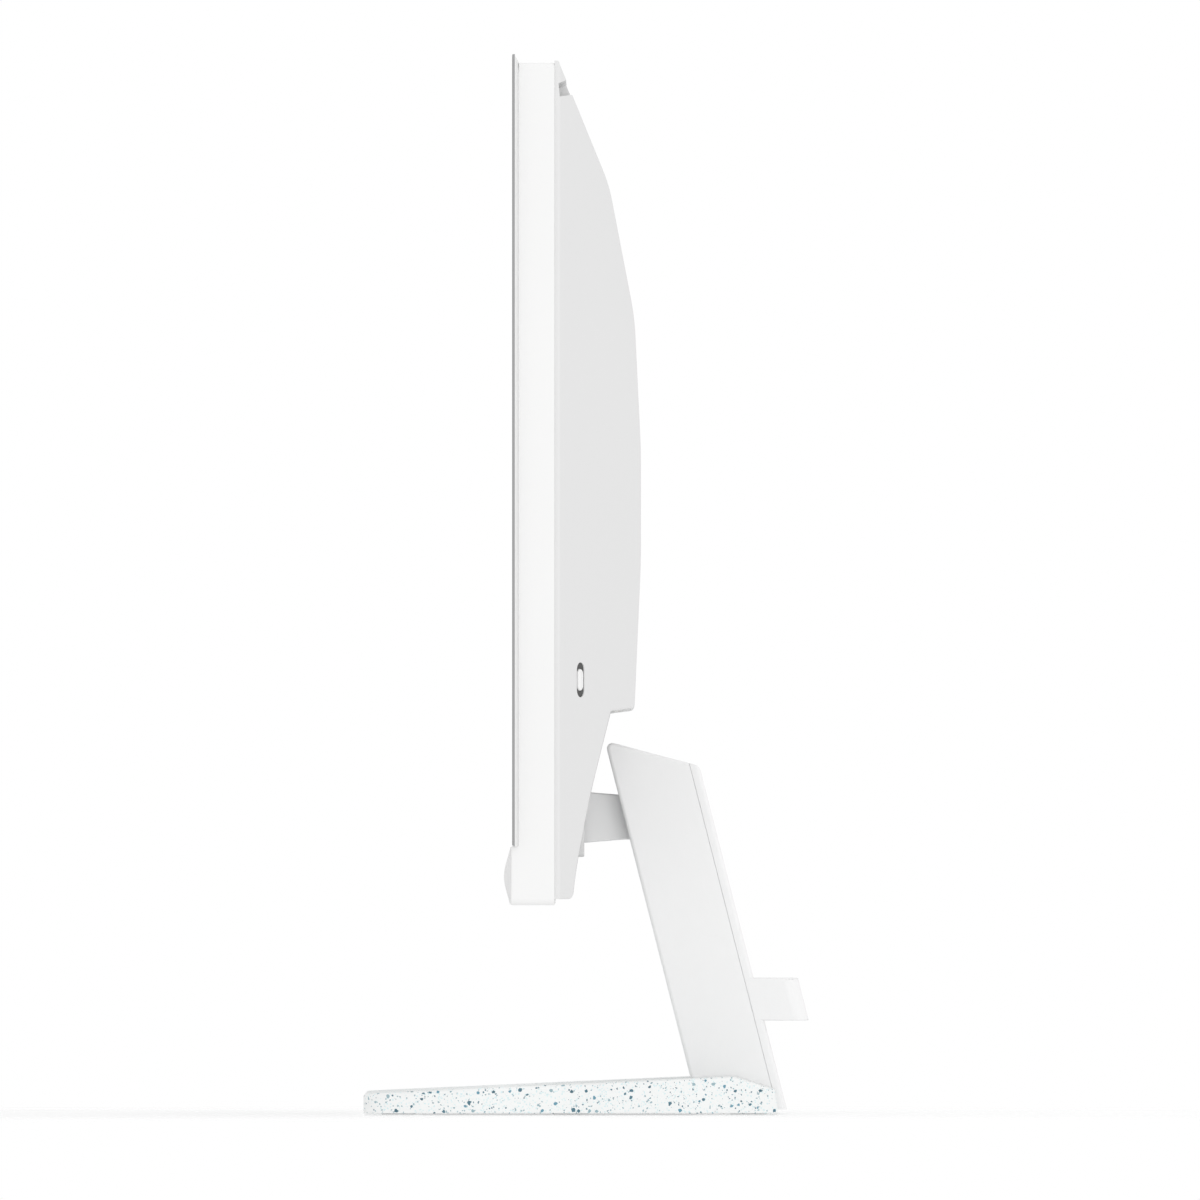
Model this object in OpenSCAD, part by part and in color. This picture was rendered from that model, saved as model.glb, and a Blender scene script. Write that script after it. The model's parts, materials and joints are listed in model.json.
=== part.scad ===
// All-in-one desktop computer: a slim screen with the computer behind it, on a leaning column stand.
// The screen faces -Y and +Z is up. The origin is on the desk, under the middle of the overall depth.

/* [Screen] */
// Width of the display glass
glass_w = 540; // [440:5:640]
// Height of the display glass above the chin
glass_h = 309.8; // [260:5:380]
// Thickness of the display glass
glass_t = 1.0; // [0.7:0.1:1.3]
// How far the glass stands past the frame at the sides and top
flare = 3.4; // [2:0.1:6]
// Depth of the bevel that runs from the glass back to the frame
bevel_d = 1.8; // [1:0.1:3]

/* [Housing] */
// Depth of the frame's flat side, glass included
side_depth = 16.5; // [16:0.5:22]
// Wall of the frame
frame_wall = 2.2; // [1.6:0.1:3]
// Height of the chin under the glass
chin_h = 23.1; // [18:0.1:32]
// How far the chin's bowed front stands out
chin_bow = 3.4; // [2:0.1:5]
// Depth of the rear hump behind the frame
hump_depth = 33.9; // [32:0.1:46]
// Width of each of the cover's sloping sides
side_run = 57.8; // [50:0.1:90]
// Wall of the rear cover
cover_wall = 2.4; // [1.8:0.1:3]
// Height of the port ledge above the bottom of the chin
ledge_rise = 76.1; // [72:0.1:90]
// Width of the port bay under the ledge
bay_w = 300; // [260:5:340]
// Depth of the port bay's floor behind the frame
bay_depth = 10; // [9.6:0.1:12]
// Height of the air slot across the top
vent_h = 6.8; // [5:0.1:9]

/* [Tilt hinge] */
// Height of the tilt axis above the bottom of the chin
pivot_rise = 34.5; // [32:0.1:40]
// Depth of the tilt axis behind the frame
pivot_depth = 2.9; // [2.9:0.1:3.4]
// Radius of the hinge shaft
shaft_r = 3.0; // [2.4:0.1:3.2]
// Width of the neck
neck_w = 34; // [28:1:38]
// Height of the neck at the screen
neck_h_head = 20.6; // [18:0.1:22]
// Height of the neck at the column
neck_h_column = 17.6; // [14:0.1:20]

/* [Stand] */
// Gap from the desk to the bottom of the chin
desk_gap = 82.7; // [70:0.1:110]
// Width of the base
base_w = 220; // [180:5:280]
// Depth of the base
base_d = 163.7; // [150:0.1:200]
// Height of the base at its front edge
base_front_h = 8.3; // [7.6:0.1:10]
// Height of the base where it is thickest
base_peak_h = 14.9; // [13:0.1:20]
// Radius of the base's front corners
base_corner_r = 11; // [4:0.5:24]
// Width of the column
column_w = 56; // [50:1:70]
// Depth of the column, level with the desk
column_d = 35; // [32:0.1:42]
// How far the column leans towards the screen, in degrees
lean = 14.3; // [12:0.1:16]
// Slope of the column's top, in degrees
roof = 14.8; // [8:0.1:20]
// Wall of the column
column_wall = 2.4; // [1.8:0.1:3]
// Distance from the base's front edge to the display glass
head_setback = 59; // [56:0.1:62]
// Height of the cable clip
clip_h = 16.9; // [12:0.1:24]
// Height of the cable clip's lower edge above the desk
clip_z = 36.7; // [30:0.1:60]
// How far the cable clip reaches behind the column
clip_reach = 17.6; // [14:0.1:26]
// Wall of the cable clip
clip_wall = 2; // [1.6:0.1:3]

/* [Controls and ports] */
// Height of the power button's slot
button_slot_h = 13.7; // [12:0.1:18]
// Width of the power button's slot
button_slot_w = 6; // [5.4:0.1:8]
// Travel of the power button
button_travel = 0.8; // [0.4:0.1:1.2]
// Height of the camera's rise
camera_travel = 22; // [16:1:24]
// Radius of the headphone socket
audio_r = 1.8; // [1.75:0.01:1.9]

/* [Hidden] */
$fn = 48;
eps = 0.01;
far = 400; // a cut this long always passes right through
slip = 0.35; // clearance between pieces that move past each other
fit = 0.15; // clearance between fixed pieces that drop together
shaft_clear = 0.05; // radial running clearance of the hinge shaft in its ears

// ---- Stand lines: every stand piece is placed from these ----
lean_t = tan(lean);
rear_strip = 3.9; // depth of the column's rear cover, level with the desk
column_overhang = 4.1; // how far the column's foot stands behind the base
overall_d = base_d + column_overhang - clip_z * lean_t + clip_reach;
base_y = -overall_d / 2;
column_rear_y = base_y + base_d + column_overhang;
column_front_y = column_rear_y - column_d;
foot_z = 1.6; // underside of the column, just clear of the desk
base_z = 0.4; // underside of the base, which the feet hold off the desk

// ---- Screen and housing lines ----
glass_y = base_y + head_setback;
frame_rear_y = glass_y + side_depth;
chin_top = desk_gap + chin_h;
glass_top = chin_top + glass_h;
frame_w = glass_w - 2 * flare;
frame_top = glass_top - flare;
cover_w = frame_w - 1.6;
cover_z = desk_gap + 2.4;
cover_top = frame_top + 0.9;
ledge_z = desk_gap + ledge_rise;
pivot_z = desk_gap + pivot_rise;
pivot_y = frame_rear_y + pivot_depth;
rim_d = 2.1; // straight rim of the rear cover, before its sides slope in
vent_top = cover_top - 7.4;
vent_z = vent_top - vent_h;

// ---- The panel stack, in depths behind the glass front ----
shelf = 6; // how far the frame's front lip reaches in, to carry the glass
lip_back = glass_t + bevel_d;
films_y = glass_t + 0.2;
films_t = 1;
guide_t = 2.6;
tray_t = 0.8;
tray_y = lip_back + 0.1;
tray_back = tray_y + guide_t + 0.4 + tray_t;

// ---- Computer, in depths behind the frame ----
chassis_d = -5.2;
chassis_t = 1.2;
bracket_t = 2;
board_d = bay_depth + 0.6;
board_t = 1.6;
board_face = board_d + board_t;
board_z = ledge_z + cover_wall + 1.4;
board_h = 96;
board_x0 = -95;
board_x1 = 146;
port_z = ledge_z; // mouths of the ports, flush with the ledge

// ---- Hinge ----
ear_t = 2;
ear_r = 4.2;
ear_gap = 0.4;
ear_x = neck_w / 2 + ear_gap; // inner face of each ear
shaft_len = 2 * (ear_x + ear_t + 7.6);
plate_out = bay_depth + 1.6; // outer face of the hinge cover
plate_in = bay_depth - 1.6;
plate_x = 31;
plate_z0 = pivot_z - 15.7;
plate_z1 = ledge_z - 1;
window_x = neck_w / 2 + 1.6;
window_z0 = pivot_z - 11.6;
window_z1 = pivot_z + 13.4;

// ---- Fan and fins ----
fan_x = 44;
fan_z = board_z + board_h + 36;
fan_r = 31;
fan_t = 12;
fan_d = 7;
fins_z = fan_z + fan_r + 5;
fins_h = 11;

// ---- Camera ----
camera_w = 60;
camera_t = 6.4;
camera_h = camera_travel + 4;
camera_y = tray_back + 1; // depth behind the glass front

// ---- Helpers ----

function unit(v) = v / norm(v);

// A closed outline, drawn anticlockwise, moved inwards by t with its corners kept sharp.
function inset(p, t) = [
    for (i = [0:len(p) - 1])
        let (
            a = p[(i + len(p) - 1) % len(p)],
            b = p[i],
            c = p[(i + 1) % len(p)],
            u = unit(b - a),
            v = unit(c - b),
            m = [-u.y, u.x],
            n = [-v.y, v.x]
        )
        b + t * (m + n) / (1 + m * n)
];

// Points that round the corner at p, between the lines from a and to b, with radius r.
function round_corner(a, p, b, r) =
    let (
        u = unit(a - p),
        v = unit(b - p),
        half = acos(u * v) / 2,
        c = p + unit(u + v) * r / sin(half),
        s = p + u * r / tan(half) - c,
        e = p + v * r / tan(half) - c,
        turn = atan2(s.x * e.y - s.y * e.x, s * e)
    )
    [
        for (i = [0:8]) let (w = turn * i / 8)
            c + [s.x * cos(w) - s.y * sin(w), s.x * sin(w) + s.y * cos(w)]
    ];

// Positions of n things spread evenly over a width, centred.
function spread(n, width) = [for (i = [0:n - 1]) width * (i / (n - 1) - 0.5)];

// Draws an outline in Y and Z and gives it the width w along X, centred.
module across(w) {
    translate([-w / 2, 0, 0]) rotate([90, 0, 90]) linear_extrude(w) children();
}

// A box from one corner to another.
module block(from, to) {
    translate(from) cube([to.x - from.x, to.y - from.y, to.z - from.z]);
}

// A round bar along Y from y0 to y1.
module bar_y(r, y0, y1) {
    translate([0, y0, 0]) rotate([-90, 0, 0]) cylinder(r = r, h = y1 - y0);
}

// A round bar along X, centred.
module bar_x(r, length) {
    rotate([0, 90, 0]) cylinder(r = r, h = length, center = true);
}

module on_glass() {
    translate([0, glass_y, 0]) children();
}

module on_cover() {
    translate([0, frame_rear_y, 0]) children();
}

module at_pivot() {
    translate([0, pivot_y, pivot_z]) children();
}

module both_sides() {
    children();
    mirror([1, 0, 0]) children();
}

// ---- Panel ----

module lcd_cell() {
    color("black") on_glass()
        block([-glass_w / 2, 0, chin_top + fit], [glass_w / 2, glass_t, glass_top]);
}

module optical_films() {
    x = frame_w / 2 - shelf - slip;
    color("white") on_glass()
        block([-x, films_y, chin_top + slip], [x, films_y + films_t, frame_top - shelf - slip]);
}

guide_x = frame_w / 2 - frame_wall - tray_t - 1;
guide_z = chin_top + tray_t + 3.4;
guide_top = frame_top - frame_wall - tray_t - 1;

module light_guide() {
    color("aliceblue") on_glass()
        block([-guide_x, tray_y + 0.2, guide_z], [guide_x, tray_y + 0.2 + guide_t, guide_top]);
}

module led_strip() {
    z = chin_top + tray_t + 0.6;
    color("khaki") on_glass() {
        block([-guide_x, tray_y + 0.2, z], [guide_x, tray_y + guide_t, z + 1]);
        for (x = spread(24, 2 * guide_x - 30))
            translate([x - 2, tray_y + 0.7, z + 1]) cube([4, 1.4, 1.2]);
    }
}

module panel_tray() {
    x = guide_x + 0.6 + tray_t;
    z0 = chin_top + 0.4;
    z1 = guide_top + 0.6 + tray_t;
    color("silver") on_glass() difference() {
        block([-x, tray_y, z0], [x, tray_back, z1]);
        block([-x + tray_t, tray_y - 1, z0 + tray_t], [x - tray_t, tray_back - tray_t, z1 - tray_t]);
    }
}

// ---- Frame and chin ----

module mid_frame() {
    half = frame_w / 2;
    lip_z = chin_top + slip;
    cam_x = camera_w / 2 + slip;
    color("white") on_glass() difference() {
        union() {
            hull() {
                block([-glass_w / 2 + 0.4, glass_t, chin_top], [glass_w / 2 - 0.4, glass_t + 0.2, glass_top - 0.4]);
                block([-half, lip_back - 0.2, chin_top], [half, lip_back, frame_top]);
            }
            block([-half, lip_back - 0.2, desk_gap], [half, side_depth, frame_top]);
            block([-half, -0.6, desk_gap], [half, side_depth, chin_top]);
        }
        // window behind the glass
        block([-half + shelf, -5, lip_z], [half - shelf, side_depth + 1, frame_top - shelf]);
        // room for the panel tray and the computer
        block(
            [-half + frame_wall, lip_back, chin_top + slip],
            [half - frame_wall, side_depth + 1, frame_top - frame_wall]
        );
        // room in the chin for the speakers
        block(
            [-half + frame_wall, -0.6 + frame_wall, desk_gap + frame_wall],
            [half - frame_wall, side_depth + 1, chin_top - frame_wall]
        );
        // way through for the speaker leads, behind the tray
        block([-half + 30, tray_back + 2, chin_top - 5], [half - 30, side_depth + 1, chin_top + 1]);
        // sound slots under the chin
        both_sides() for (x = spread(14, 78))
            translate([speaker_x + x - 1, 4, desk_gap - 1]) cube([2, 8, frame_wall + 2]);
        // slot that the camera rises through
        block([-cam_x, camera_y - slip, frame_top - 5], [cam_x, camera_y + camera_t + slip, frame_top + 1]);
    }
}

module chin_trim() {
    length = frame_w - 2;
    height = chin_h - 0.8;
    r = (height * height / 4 + chin_bow * chin_bow) / (2 * chin_bow);
    hip = 24; // length over which each end of the bow dies away
    color("gainsboro") translate([0, glass_y - 0.6, desk_gap + 0.4]) intersection() {
        across(length) intersection() {
            translate([r - chin_bow, height / 2]) circle(r = r, $fn = 96);
            translate([-chin_bow, 0]) square([chin_bow, height]);
        }
        linear_extrude(height) polygon([
            [-length / 2, 0], [-length / 2 + hip, -chin_bow - 0.2],
            [length / 2 - hip, -chin_bow - 0.2], [length / 2, 0]
        ]);
    }
}

// ---- Rear cover ----

cover_rise = cover_top - ledge_z;

// Outline of the cover seen from the side, as depth behind the frame and height.
function cover_side(front) = [
    [front, cover_z], [6.9, cover_z], [9, cover_z + 15.6], [14.3, cover_z + 42.7],
    [hump_depth - 11.9, ledge_z], [hump_depth - 2.5, ledge_z + 1.2],
    [hump_depth, ledge_z + 0.232 * cover_rise], [hump_depth, cover_top - 0.598 * cover_rise],
    [hump_depth - 2.5, cover_top - 0.393 * cover_rise],
    [hump_depth - 12.5, cover_top - 0.19 * cover_rise],
    [1.6, cover_top], [front, cover_top]
];

plateau_x = cover_w / 2 - side_run; // half width of the hump's flat back
side_rise = hump_depth - rim_d;
side_turn = atan2(side_rise, side_run); // how far the sloping side turns from facing straight back

// Outline of the cover seen from above, as X and depth behind the frame.
function cover_plan(front) =
    let (past = 5, x = plateau_x - side_run * past / side_rise)
    [
        [-cover_w / 2, front], [cover_w / 2, front], [cover_w / 2, rim_d],
        [x, hump_depth + past], [-x, hump_depth + past], [-cover_w / 2, rim_d]
    ];

module cover_form(front, t) {
    intersection() {
        across(glass_w) polygon(inset(cover_side(front), t));
        translate([0, 0, cover_z - 1]) linear_extrude(glass_top) polygon(inset(cover_plan(front), t));
    }
}

// Puts its children on the sloping side at the power button, with +Y pointing out of the cover.
button_depth = 10.2;
button_z = ledge_z + 12.1;
button_x = cover_w / 2 - (button_depth - rim_d) * side_run / side_rise;
module at_button() {
    translate([button_x, frame_rear_y + button_depth, button_z]) rotate([0, 0, -side_turn]) children();
}

// An upright slot with round ends, cut or filled along Y.
module upright_slot(w, h, y0, y1) {
    for (s = [-1, 1]) translate([0, 0, s * (h - w) / 2]) bar_y(w / 2, y0, y1);
    block([-w / 2, y0, -(h - w) / 2], [w / 2, y1, (h - w) / 2]);
}

intake_n = 31;
intake_w = 2.2;
intake_h = 13;
intake_z = cover_top - 122;

module rear_cover() {
    half_bay = bay_w / 2;
    color("whitesmoke") difference() {
        on_cover() difference() {
            union() {
                difference() {
                    cover_form(0, 0);
                    cover_form(-cover_wall - 1, cover_wall);
                }
                intersection() {
                    cover_form(0, 0);
                    union() {
                        block([-far, 0, vent_z - 2], [far, far, vent_top + 1.6]);
                        block(
                            [-half_bay - cover_wall, bay_depth - cover_wall, cover_z],
                            [half_bay + cover_wall, far, ledge_z + cover_wall]
                        );
                    }
                }
            }
            // air slot across the top, with outlets through its lower lip
            across(2 * far) polygon([
                [rim_d - 0.5, vent_top - 1.5], [rim_d, vent_z + 0.2],
                [rim_d + 10, vent_z + 1.6], [rim_d + 10, vent_top + 3.1]
            ]);
            for (x = spread(40, 2 * plateau_x - 20))
                translate([x - 3, rim_d + 0.5, vent_z - 3]) cube([6, 2.6, 5]);
            // port bay
            block([-half_bay, bay_depth, cover_z - 1], [half_bay, far, ledge_z]);
            // seat of the hinge cover, and the window for the neck
            block([-plate_x - fit, plate_in, plate_z0 - fit], [plate_x + fit, far, plate_z1 + fit]);
            block([-window_x, -1, window_z0], [window_x, far, window_z1]);
            // intake slots
            for (row = [0, 1], x = spread(intake_n, 176))
                translate([x - intake_w / 2, hump_depth - 8, intake_z - row * 19])
                    cube([intake_w, 12, intake_h]);
            // cut-outs for the ports
            for (p = port_cuts)
                translate([p[0] - p[1] / 2 - fit, board_face - fit, ledge_z - 1])
                    cube([p[1] + 2 * fit, p[2] + 2 * fit, cover_wall + 4]);
            // screw holes
            for (p = cover_screw_at) translate([p.x, 0, p.y]) bar_y(1.7, 2, far);
        }
        at_button() upright_slot(button_slot_w, button_slot_h, -8, 3);
    }
    vent_ribs();
}

// Upright ribs across the air slot, set a little under its lips.
module vent_ribs() {
    color("whitesmoke") on_cover() intersection() {
        cover_form(0, 0.7);
        for (x = spread(27, 2 * plateau_x + 40))
            block([x - 0.7, 0, vent_z - 1], [x + 0.7, far, vent_top + 1.4]);
    }
}

module hinge_cover() {
    color("white") on_cover() difference() {
        block([-plate_x, plate_in, plate_z0], [plate_x, plate_out, plate_z1]);
        block([-window_x, 0, window_z0], [window_x, far, window_z1]);
    }
}

// ---- Chassis and hinge bracket ----

module chassis_plate() {
    x = 150;
    z0 = chin_top + 4;
    z1 = fins_z + fins_h + 6;
    rail = chassis_d - (tray_back - side_depth);
    color("silver") on_cover() difference() {
        union() {
            block([-x, chassis_d, z0], [x, chassis_d + chassis_t, z1]);
            both_sides() block([x - 1.2, chassis_d - rail, z0 + 46], [x, chassis_d + chassis_t, z1]);
        }
        for (x = [-110, 110], z = [z0 + 50, z0 + 110, z0 + 170])
            translate([x, 0, z]) bar_y(14, chassis_d - 1, chassis_d + 3);
    }
}

module ear() {
    difference() {
        union() {
            bar_x(ear_r, ear_t);
            block([-ear_t / 2, -pivot_depth + bracket_top, -ear_r], [ear_t / 2, 0, ear_r]);
        }
        bar_x(shaft_r + shaft_clear, ear_t + 1);
    }
}

bracket_top = chassis_d + chassis_t + bracket_t;
hinge_screw_at = [[-38, 14], [38, 14], [-38, -6], [38, -6]];

module hinge_bracket() {
    color("gray") difference() {
        union() {
            on_cover() block(
                [-48, chassis_d + chassis_t, pivot_z - 7.2],
                [48, bracket_top, pivot_z + 24]
            );
            at_pivot() both_sides() translate([ear_x + ear_t / 2, 0, 0]) ear();
        }
        for (p = hinge_screw_at)
            translate([p.x, frame_rear_y, pivot_z + p.y]) bar_y(2.1, chassis_d, bracket_top + 1);
    }
}

module pan_screw(r, head_r, head_h, length) {
    rotate([-90, 0, 0]) cylinder(r = head_r, h = head_h);
    translate([0, -length, 0]) rotate([-90, 0, 0]) cylinder(r = r, h = length + eps);
}

module hinge_screws() {
    color("dimgray") for (p = hinge_screw_at)
        translate([p.x, frame_rear_y + bracket_top, pivot_z + p.y]) pan_screw(2, 3.6, 2, bracket_t);
}

module hinge_shaft() {
    color("silver") at_pivot() bar_x(shaft_r, shaft_len);
}

module hinge_washers() {
    color("dimgray") at_pivot() both_sides() for (i = [0, 1])
        translate([ear_x + ear_t + 0.8 + i * 1.3, 0, 0]) difference() {
            bar_x(ear_r - 0.2, 1);
            bar_x(shaft_r + shaft_clear, 2);
        }
}

module hinge_nuts() {
    color("silver") at_pivot() both_sides() translate([ear_x + ear_t + 5, 0, 0]) difference() {
        rotate([0, 90, 0]) cylinder(r = ear_r, h = 4, center = true, $fn = 6);
        bar_x(shaft_r, 5);
    }
}

// ---- Computer ----

module motherboard() {
    color("darkgreen") on_cover() difference() {
        block([board_x0, board_d, board_z], [board_x1, board_face, board_z + board_h]);
        for (p = standoff_at) translate([p.x, 0, p.y]) bar_y(1.6, board_d - 1, board_face + 1);
    }
}

standoff_at = [
    for (x = [board_x0 + 6, board_x1 - 6], z = [board_z + 15, board_z + board_h - 6]) [x, z]
];

module board_standoffs() {
    color("goldenrod") on_cover() for (p = standoff_at) translate([p.x, 0, p.y]) {
        bar_y(2.8, chassis_d + chassis_t, board_d);
        bar_y(1.5, board_d - eps, board_face + eps);
        bar_y(2.9, board_face, board_face + 1.6);
    }
}

cpu_x = -12;
cpu_z = board_z + 54;
cpu_t = 2.4;
plate_t = 3;

module cpu_package() {
    color("darkslategray") on_cover() {
        block([cpu_x - 20, board_face, cpu_z - 20], [cpu_x + 20, board_face + 1.4, cpu_z + 20]);
        block([cpu_x - 12, board_face + 1.4 - eps, cpu_z - 9], [cpu_x + 12, board_face + cpu_t, cpu_z + 9]);
    }
}

module cooler_plate() {
    color("peru") on_cover() difference() {
        block([cpu_x - 24, board_face + cpu_t, cpu_z - 18], [cpu_x + 24, board_face + cpu_t + plate_t, cpu_z + 18]);
        translate([cpu_x, board_face + cpu_t + plate_t, cpu_z - 30]) cylinder(r = pipe_r + 0.1, h = 60);
    }
}

pipe_r = 2.6;
pipe_d = board_face + cpu_t + plate_t;
pipe_turn_r = 16;

// The pipe climbs from the processor, turns towards the fan side and ends along the fins.
module heat_pipe() {
    z_run = fins_z + fins_h / 2;
    x_end = fan_x + fan_r;
    z_turn = z_run - pipe_turn_r;
    color("chocolate") on_cover() {
        translate([cpu_x, pipe_d, cpu_z - 17]) cylinder(r = pipe_r, h = z_turn - cpu_z + 17);
        translate([cpu_x + pipe_turn_r, pipe_d, z_turn]) rotate([90, 0, 0])
            rotate_extrude(angle = 90, start = 90) translate([pipe_turn_r, 0]) circle(r = pipe_r);
        translate([cpu_x + pipe_turn_r, pipe_d, z_run]) rotate([0, 90, 0])
            cylinder(r = pipe_r, h = x_end - cpu_x - pipe_turn_r);
    }
}

module heatsink_fins() {
    n = 22;
    color("lightgray") on_cover() difference() {
        union() {
            for (x = spread(n, 2 * fan_r - 4)) translate([fan_x + x - 0.3, fan_d, fins_z]) cube([0.6, fan_t, fins_h]);
            block([fan_x - fan_r, fan_d - 0.6, fins_z], [fan_x + fan_r, fan_d, fins_z + fins_h]);
        }
        translate([fan_x, pipe_d, fins_z + fins_h / 2]) bar_x(pipe_r + 0.05, 3 * fan_r);
    }
}

module fan_housing() {
    wall = 1.2;
    open_r = fan_r - 12;
    color("dimgray") on_cover() difference() {
        union() {
            translate([fan_x, 0, fan_z]) bar_y(fan_r, fan_d, fan_d + fan_t);
            block([fan_x - fan_r, fan_d, fan_z], [fan_x + fan_r, fan_d + fan_t, fins_z - 0.6]);
        }
        translate([fan_x, 0, fan_z]) bar_y(fan_r - wall, fan_d + wall, fan_d + fan_t - wall);
        block([fan_x - fan_r + wall, fan_d + wall, fan_z], [fan_x + fan_r - wall, fan_d + fan_t - wall, fins_z]);
        translate([fan_x, 0, fan_z]) bar_y(open_r, fan_d + wall + 1, fan_d + fan_t + 1);
    }
}

module fan_rotor() {
    hub_r = 11;
    tip_r = fan_r - 3;
    blades = 17;
    y0 = fan_d + 2;
    y1 = fan_d + fan_t - 2;
    color("black") on_cover() translate([fan_x, 0, fan_z]) {
        bar_y(hub_r, y0, y1 + 0.6);
        for (i = [0:blades - 1]) rotate([0, i * 360 / blades, 0])
            translate([hub_r - 1, y0 + 0.4, -0.4]) cube([tip_r - hub_r + 1, y1 - y0 - 0.8, 0.8]);
    }
}

module memory_modules() {
    color("seagreen") on_cover() for (i = [0, 1])
        translate([66, board_face, board_z + 16 + i * 38]) {
            cube([68, 5, 6]);
            translate([0, 2, 6 - eps]) cube([68, 1.2, 24]);
            for (c = [0:3]) translate([4 + c * 16, 3.2 - eps, 12]) cube([12, 1, 10]);
        }
}

module storage_drive() {
    color("darkslateblue") on_cover() translate([-88, board_face, board_z + 62]) {
        cube([4, 3.4, 22]);
        translate([4 - eps, 1.4, 0]) cube([50, 0.8, 22]);
        translate([10, 2.2 - eps, 3]) cube([16, 1.2, 16]);
        translate([32, 2.2 - eps, 3]) cube([16, 1.2, 16]);
    }
}

module wifi_card() {
    color("steelblue") on_cover() translate([-88, board_face, board_z + 30]) {
        cube([4, 3.4, 22]);
        translate([4 - eps, 1.4, 0]) cube([26, 0.8, 22]);
        translate([10, 2.2 - eps, 3]) cube([14, 1.4, 16]);
    }
}

module coin_cell() {
    color("silver") on_cover() translate([42, 0, board_z + 78]) {
        bar_y(11, board_face, board_face + 1.6);
        bar_y(10, board_face + 1.6 - eps, board_face + 4.8);
    }
}

module antennas() {
    color("orange") on_glass() both_sides()
        translate([plateau_x - 30, tray_back, frame_top - 34]) cube([46, 0.6, 12]);
}

driver_x = -70;
driver_z = chin_top + 12;

module panel_driver_board() {
    color("green") on_glass() difference() {
        translate([driver_x - 66, tray_back + 1, driver_z]) cube([132, 1.2, 30]);
        for (s = [-1, 1]) translate([driver_x + s * 60, 0, driver_z + 24]) bar_y(1.6, tray_back, tray_back + 4);
    }
}

// Flat screen lead, clipped flat to the tray from the driver board up past the edge of the chassis.
module display_cable() {
    w = 18;
    x = driver_x - 99;
    y = tray_back + 0.1;
    color("navy") on_glass() {
        block([x, y, driver_z + 6], [x + 32, y + 0.5, driver_z + 6 + w]);
        block([x, y, driver_z + 6], [x + w, y + 0.5, board_z + 60]);
    }
}

speaker_x = frame_w / 2 - 76.6;

module speaker() {
    color("black") on_glass() difference() {
        block([speaker_x - 44, 2.6, desk_gap + frame_wall + 0.2], [speaker_x + 44, 14, chin_top - 5.4]);
        translate([speaker_x - 38, 4.6, desk_gap + frame_wall - 1]) cube([76, 7, 4]);
    }
}

module speaker_right() {
    speaker();
}

module speaker_left() {
    mirror([1, 0, 0]) speaker();
}

// ---- Ports: place along X, width and depth of each, all opening downwards ----
port_h = 13;
hdmi_at = [72, 15, 6];
lan_at = [100, 16.4, 13.6];
inlet_at = [50, 9, 11];
audio_at = [-48, 7, 6];
usb_x = [124, 140.5, -64, -82];
usb_size = [13.4, 6];
port_cuts = concat([hdmi_at, lan_at, inlet_at, audio_at], [for (x = usb_x) [x, usb_size.x, usb_size.y]]);

module port_body(p) {
    translate([p[0] - p[1] / 2, board_face, port_z]) cube([p[1], p[2], port_h]);
}

// A hole in a port's mouth, centred on it, w across and t deep along Y.
module port_mouth(p, w, t, depth) {
    translate([p[0] - w / 2, board_face + p[2] / 2 - t / 2, port_z - 1]) cube([w, t, depth + 1]);
}

module usb_ports() {
    color("silver") on_cover() for (x = usb_x) {
        p = [x, usb_size.x, usb_size.y];
        difference() {
            port_body(p);
            port_mouth(p, 12.4, 4.9, 11);
        }
        translate([x - 5.6, board_face + 1.2, port_z + 0.6]) cube([11.2, 1.9, port_h - 1]);
    }
}

module hdmi_port() {
    color("silver") on_cover() {
        difference() {
            port_body(hdmi_at);
            port_mouth(hdmi_at, 14, 4.6, 10);
        }
        translate([hdmi_at[0] - 5.6, board_face + hdmi_at[2] / 2 - 0.8, port_z + 0.8]) cube([11.2, 1.6, port_h - 1]);
    }
}

lan_hole = [11.8, 8.4];

module lan_port() {
    color("silver") on_cover() difference() {
        port_body(lan_at);
        port_mouth(lan_at, lan_hole.x, lan_hole.y, 11);
    }
}

module audio_jack() {
    color("black") on_cover() difference() {
        port_body(audio_at);
        translate([audio_at[0], board_face + audio_at[2] / 2, port_z - 1]) cylinder(r = audio_r, h = 12.5);
    }
}

module power_inlet() {
    c = [inlet_at[0], board_face + inlet_at[2] / 2, port_z];
    color("black") on_cover() {
        difference() {
            port_body(inlet_at);
            translate([c.x, c.y, c.z - 1]) cylinder(r = 3.2, h = 11);
        }
        translate([c.x, c.y, c.z + 1]) cylinder(r = 1.1, h = 10);
    }
}

module io_shield() {
    z = ledge_z + cover_wall + 1.2;
    color("silver") on_cover() difference() {
        block([-100, board_face + 0.1, z], [board_x1 + 2, board_face + 14.6, z + 0.5]);
        for (p = port_cuts)
            translate([p[0] - p[1] / 2 - 0.1, board_face - 0.1, z - 1]) cube([p[1] + 0.2, p[2] + 0.2, 3]);
    }
}

// ---- Power button ----

button_h = 8.6;
button_out = 0.3; // crown of the button, just proud of the cover

module power_button() {
    w = button_slot_w - 2 * slip - 0.6;
    color("white") at_button() {
        upright_slot(w, button_h, -4.2, button_out);
        block([-w / 2 - 1.4, -5, -button_h / 2 - 3], [w / 2 + 1.4, -4.2 + eps, button_h / 2 + 3]);
    }
}

module button_board() {
    y = -5 - button_travel - 0.1;
    color("green") at_button() {
        block([-4.4, y - 2.8, -13], [4.4, y - 1.6, 13]);
        block([-2, y - 1.6 - eps, -2], [2, y, 2]);
    }
}

// ---- Camera ----

module camera_carriage() {
    x = camera_w / 2;
    color("white") on_glass() difference() {
        block([-x, camera_y, frame_top - camera_h], [x, camera_y + camera_t, frame_top]);
        translate([0, 0, frame_top - 9]) bar_y(4.2, camera_y - 1, camera_y + 3);
    }
}

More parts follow.
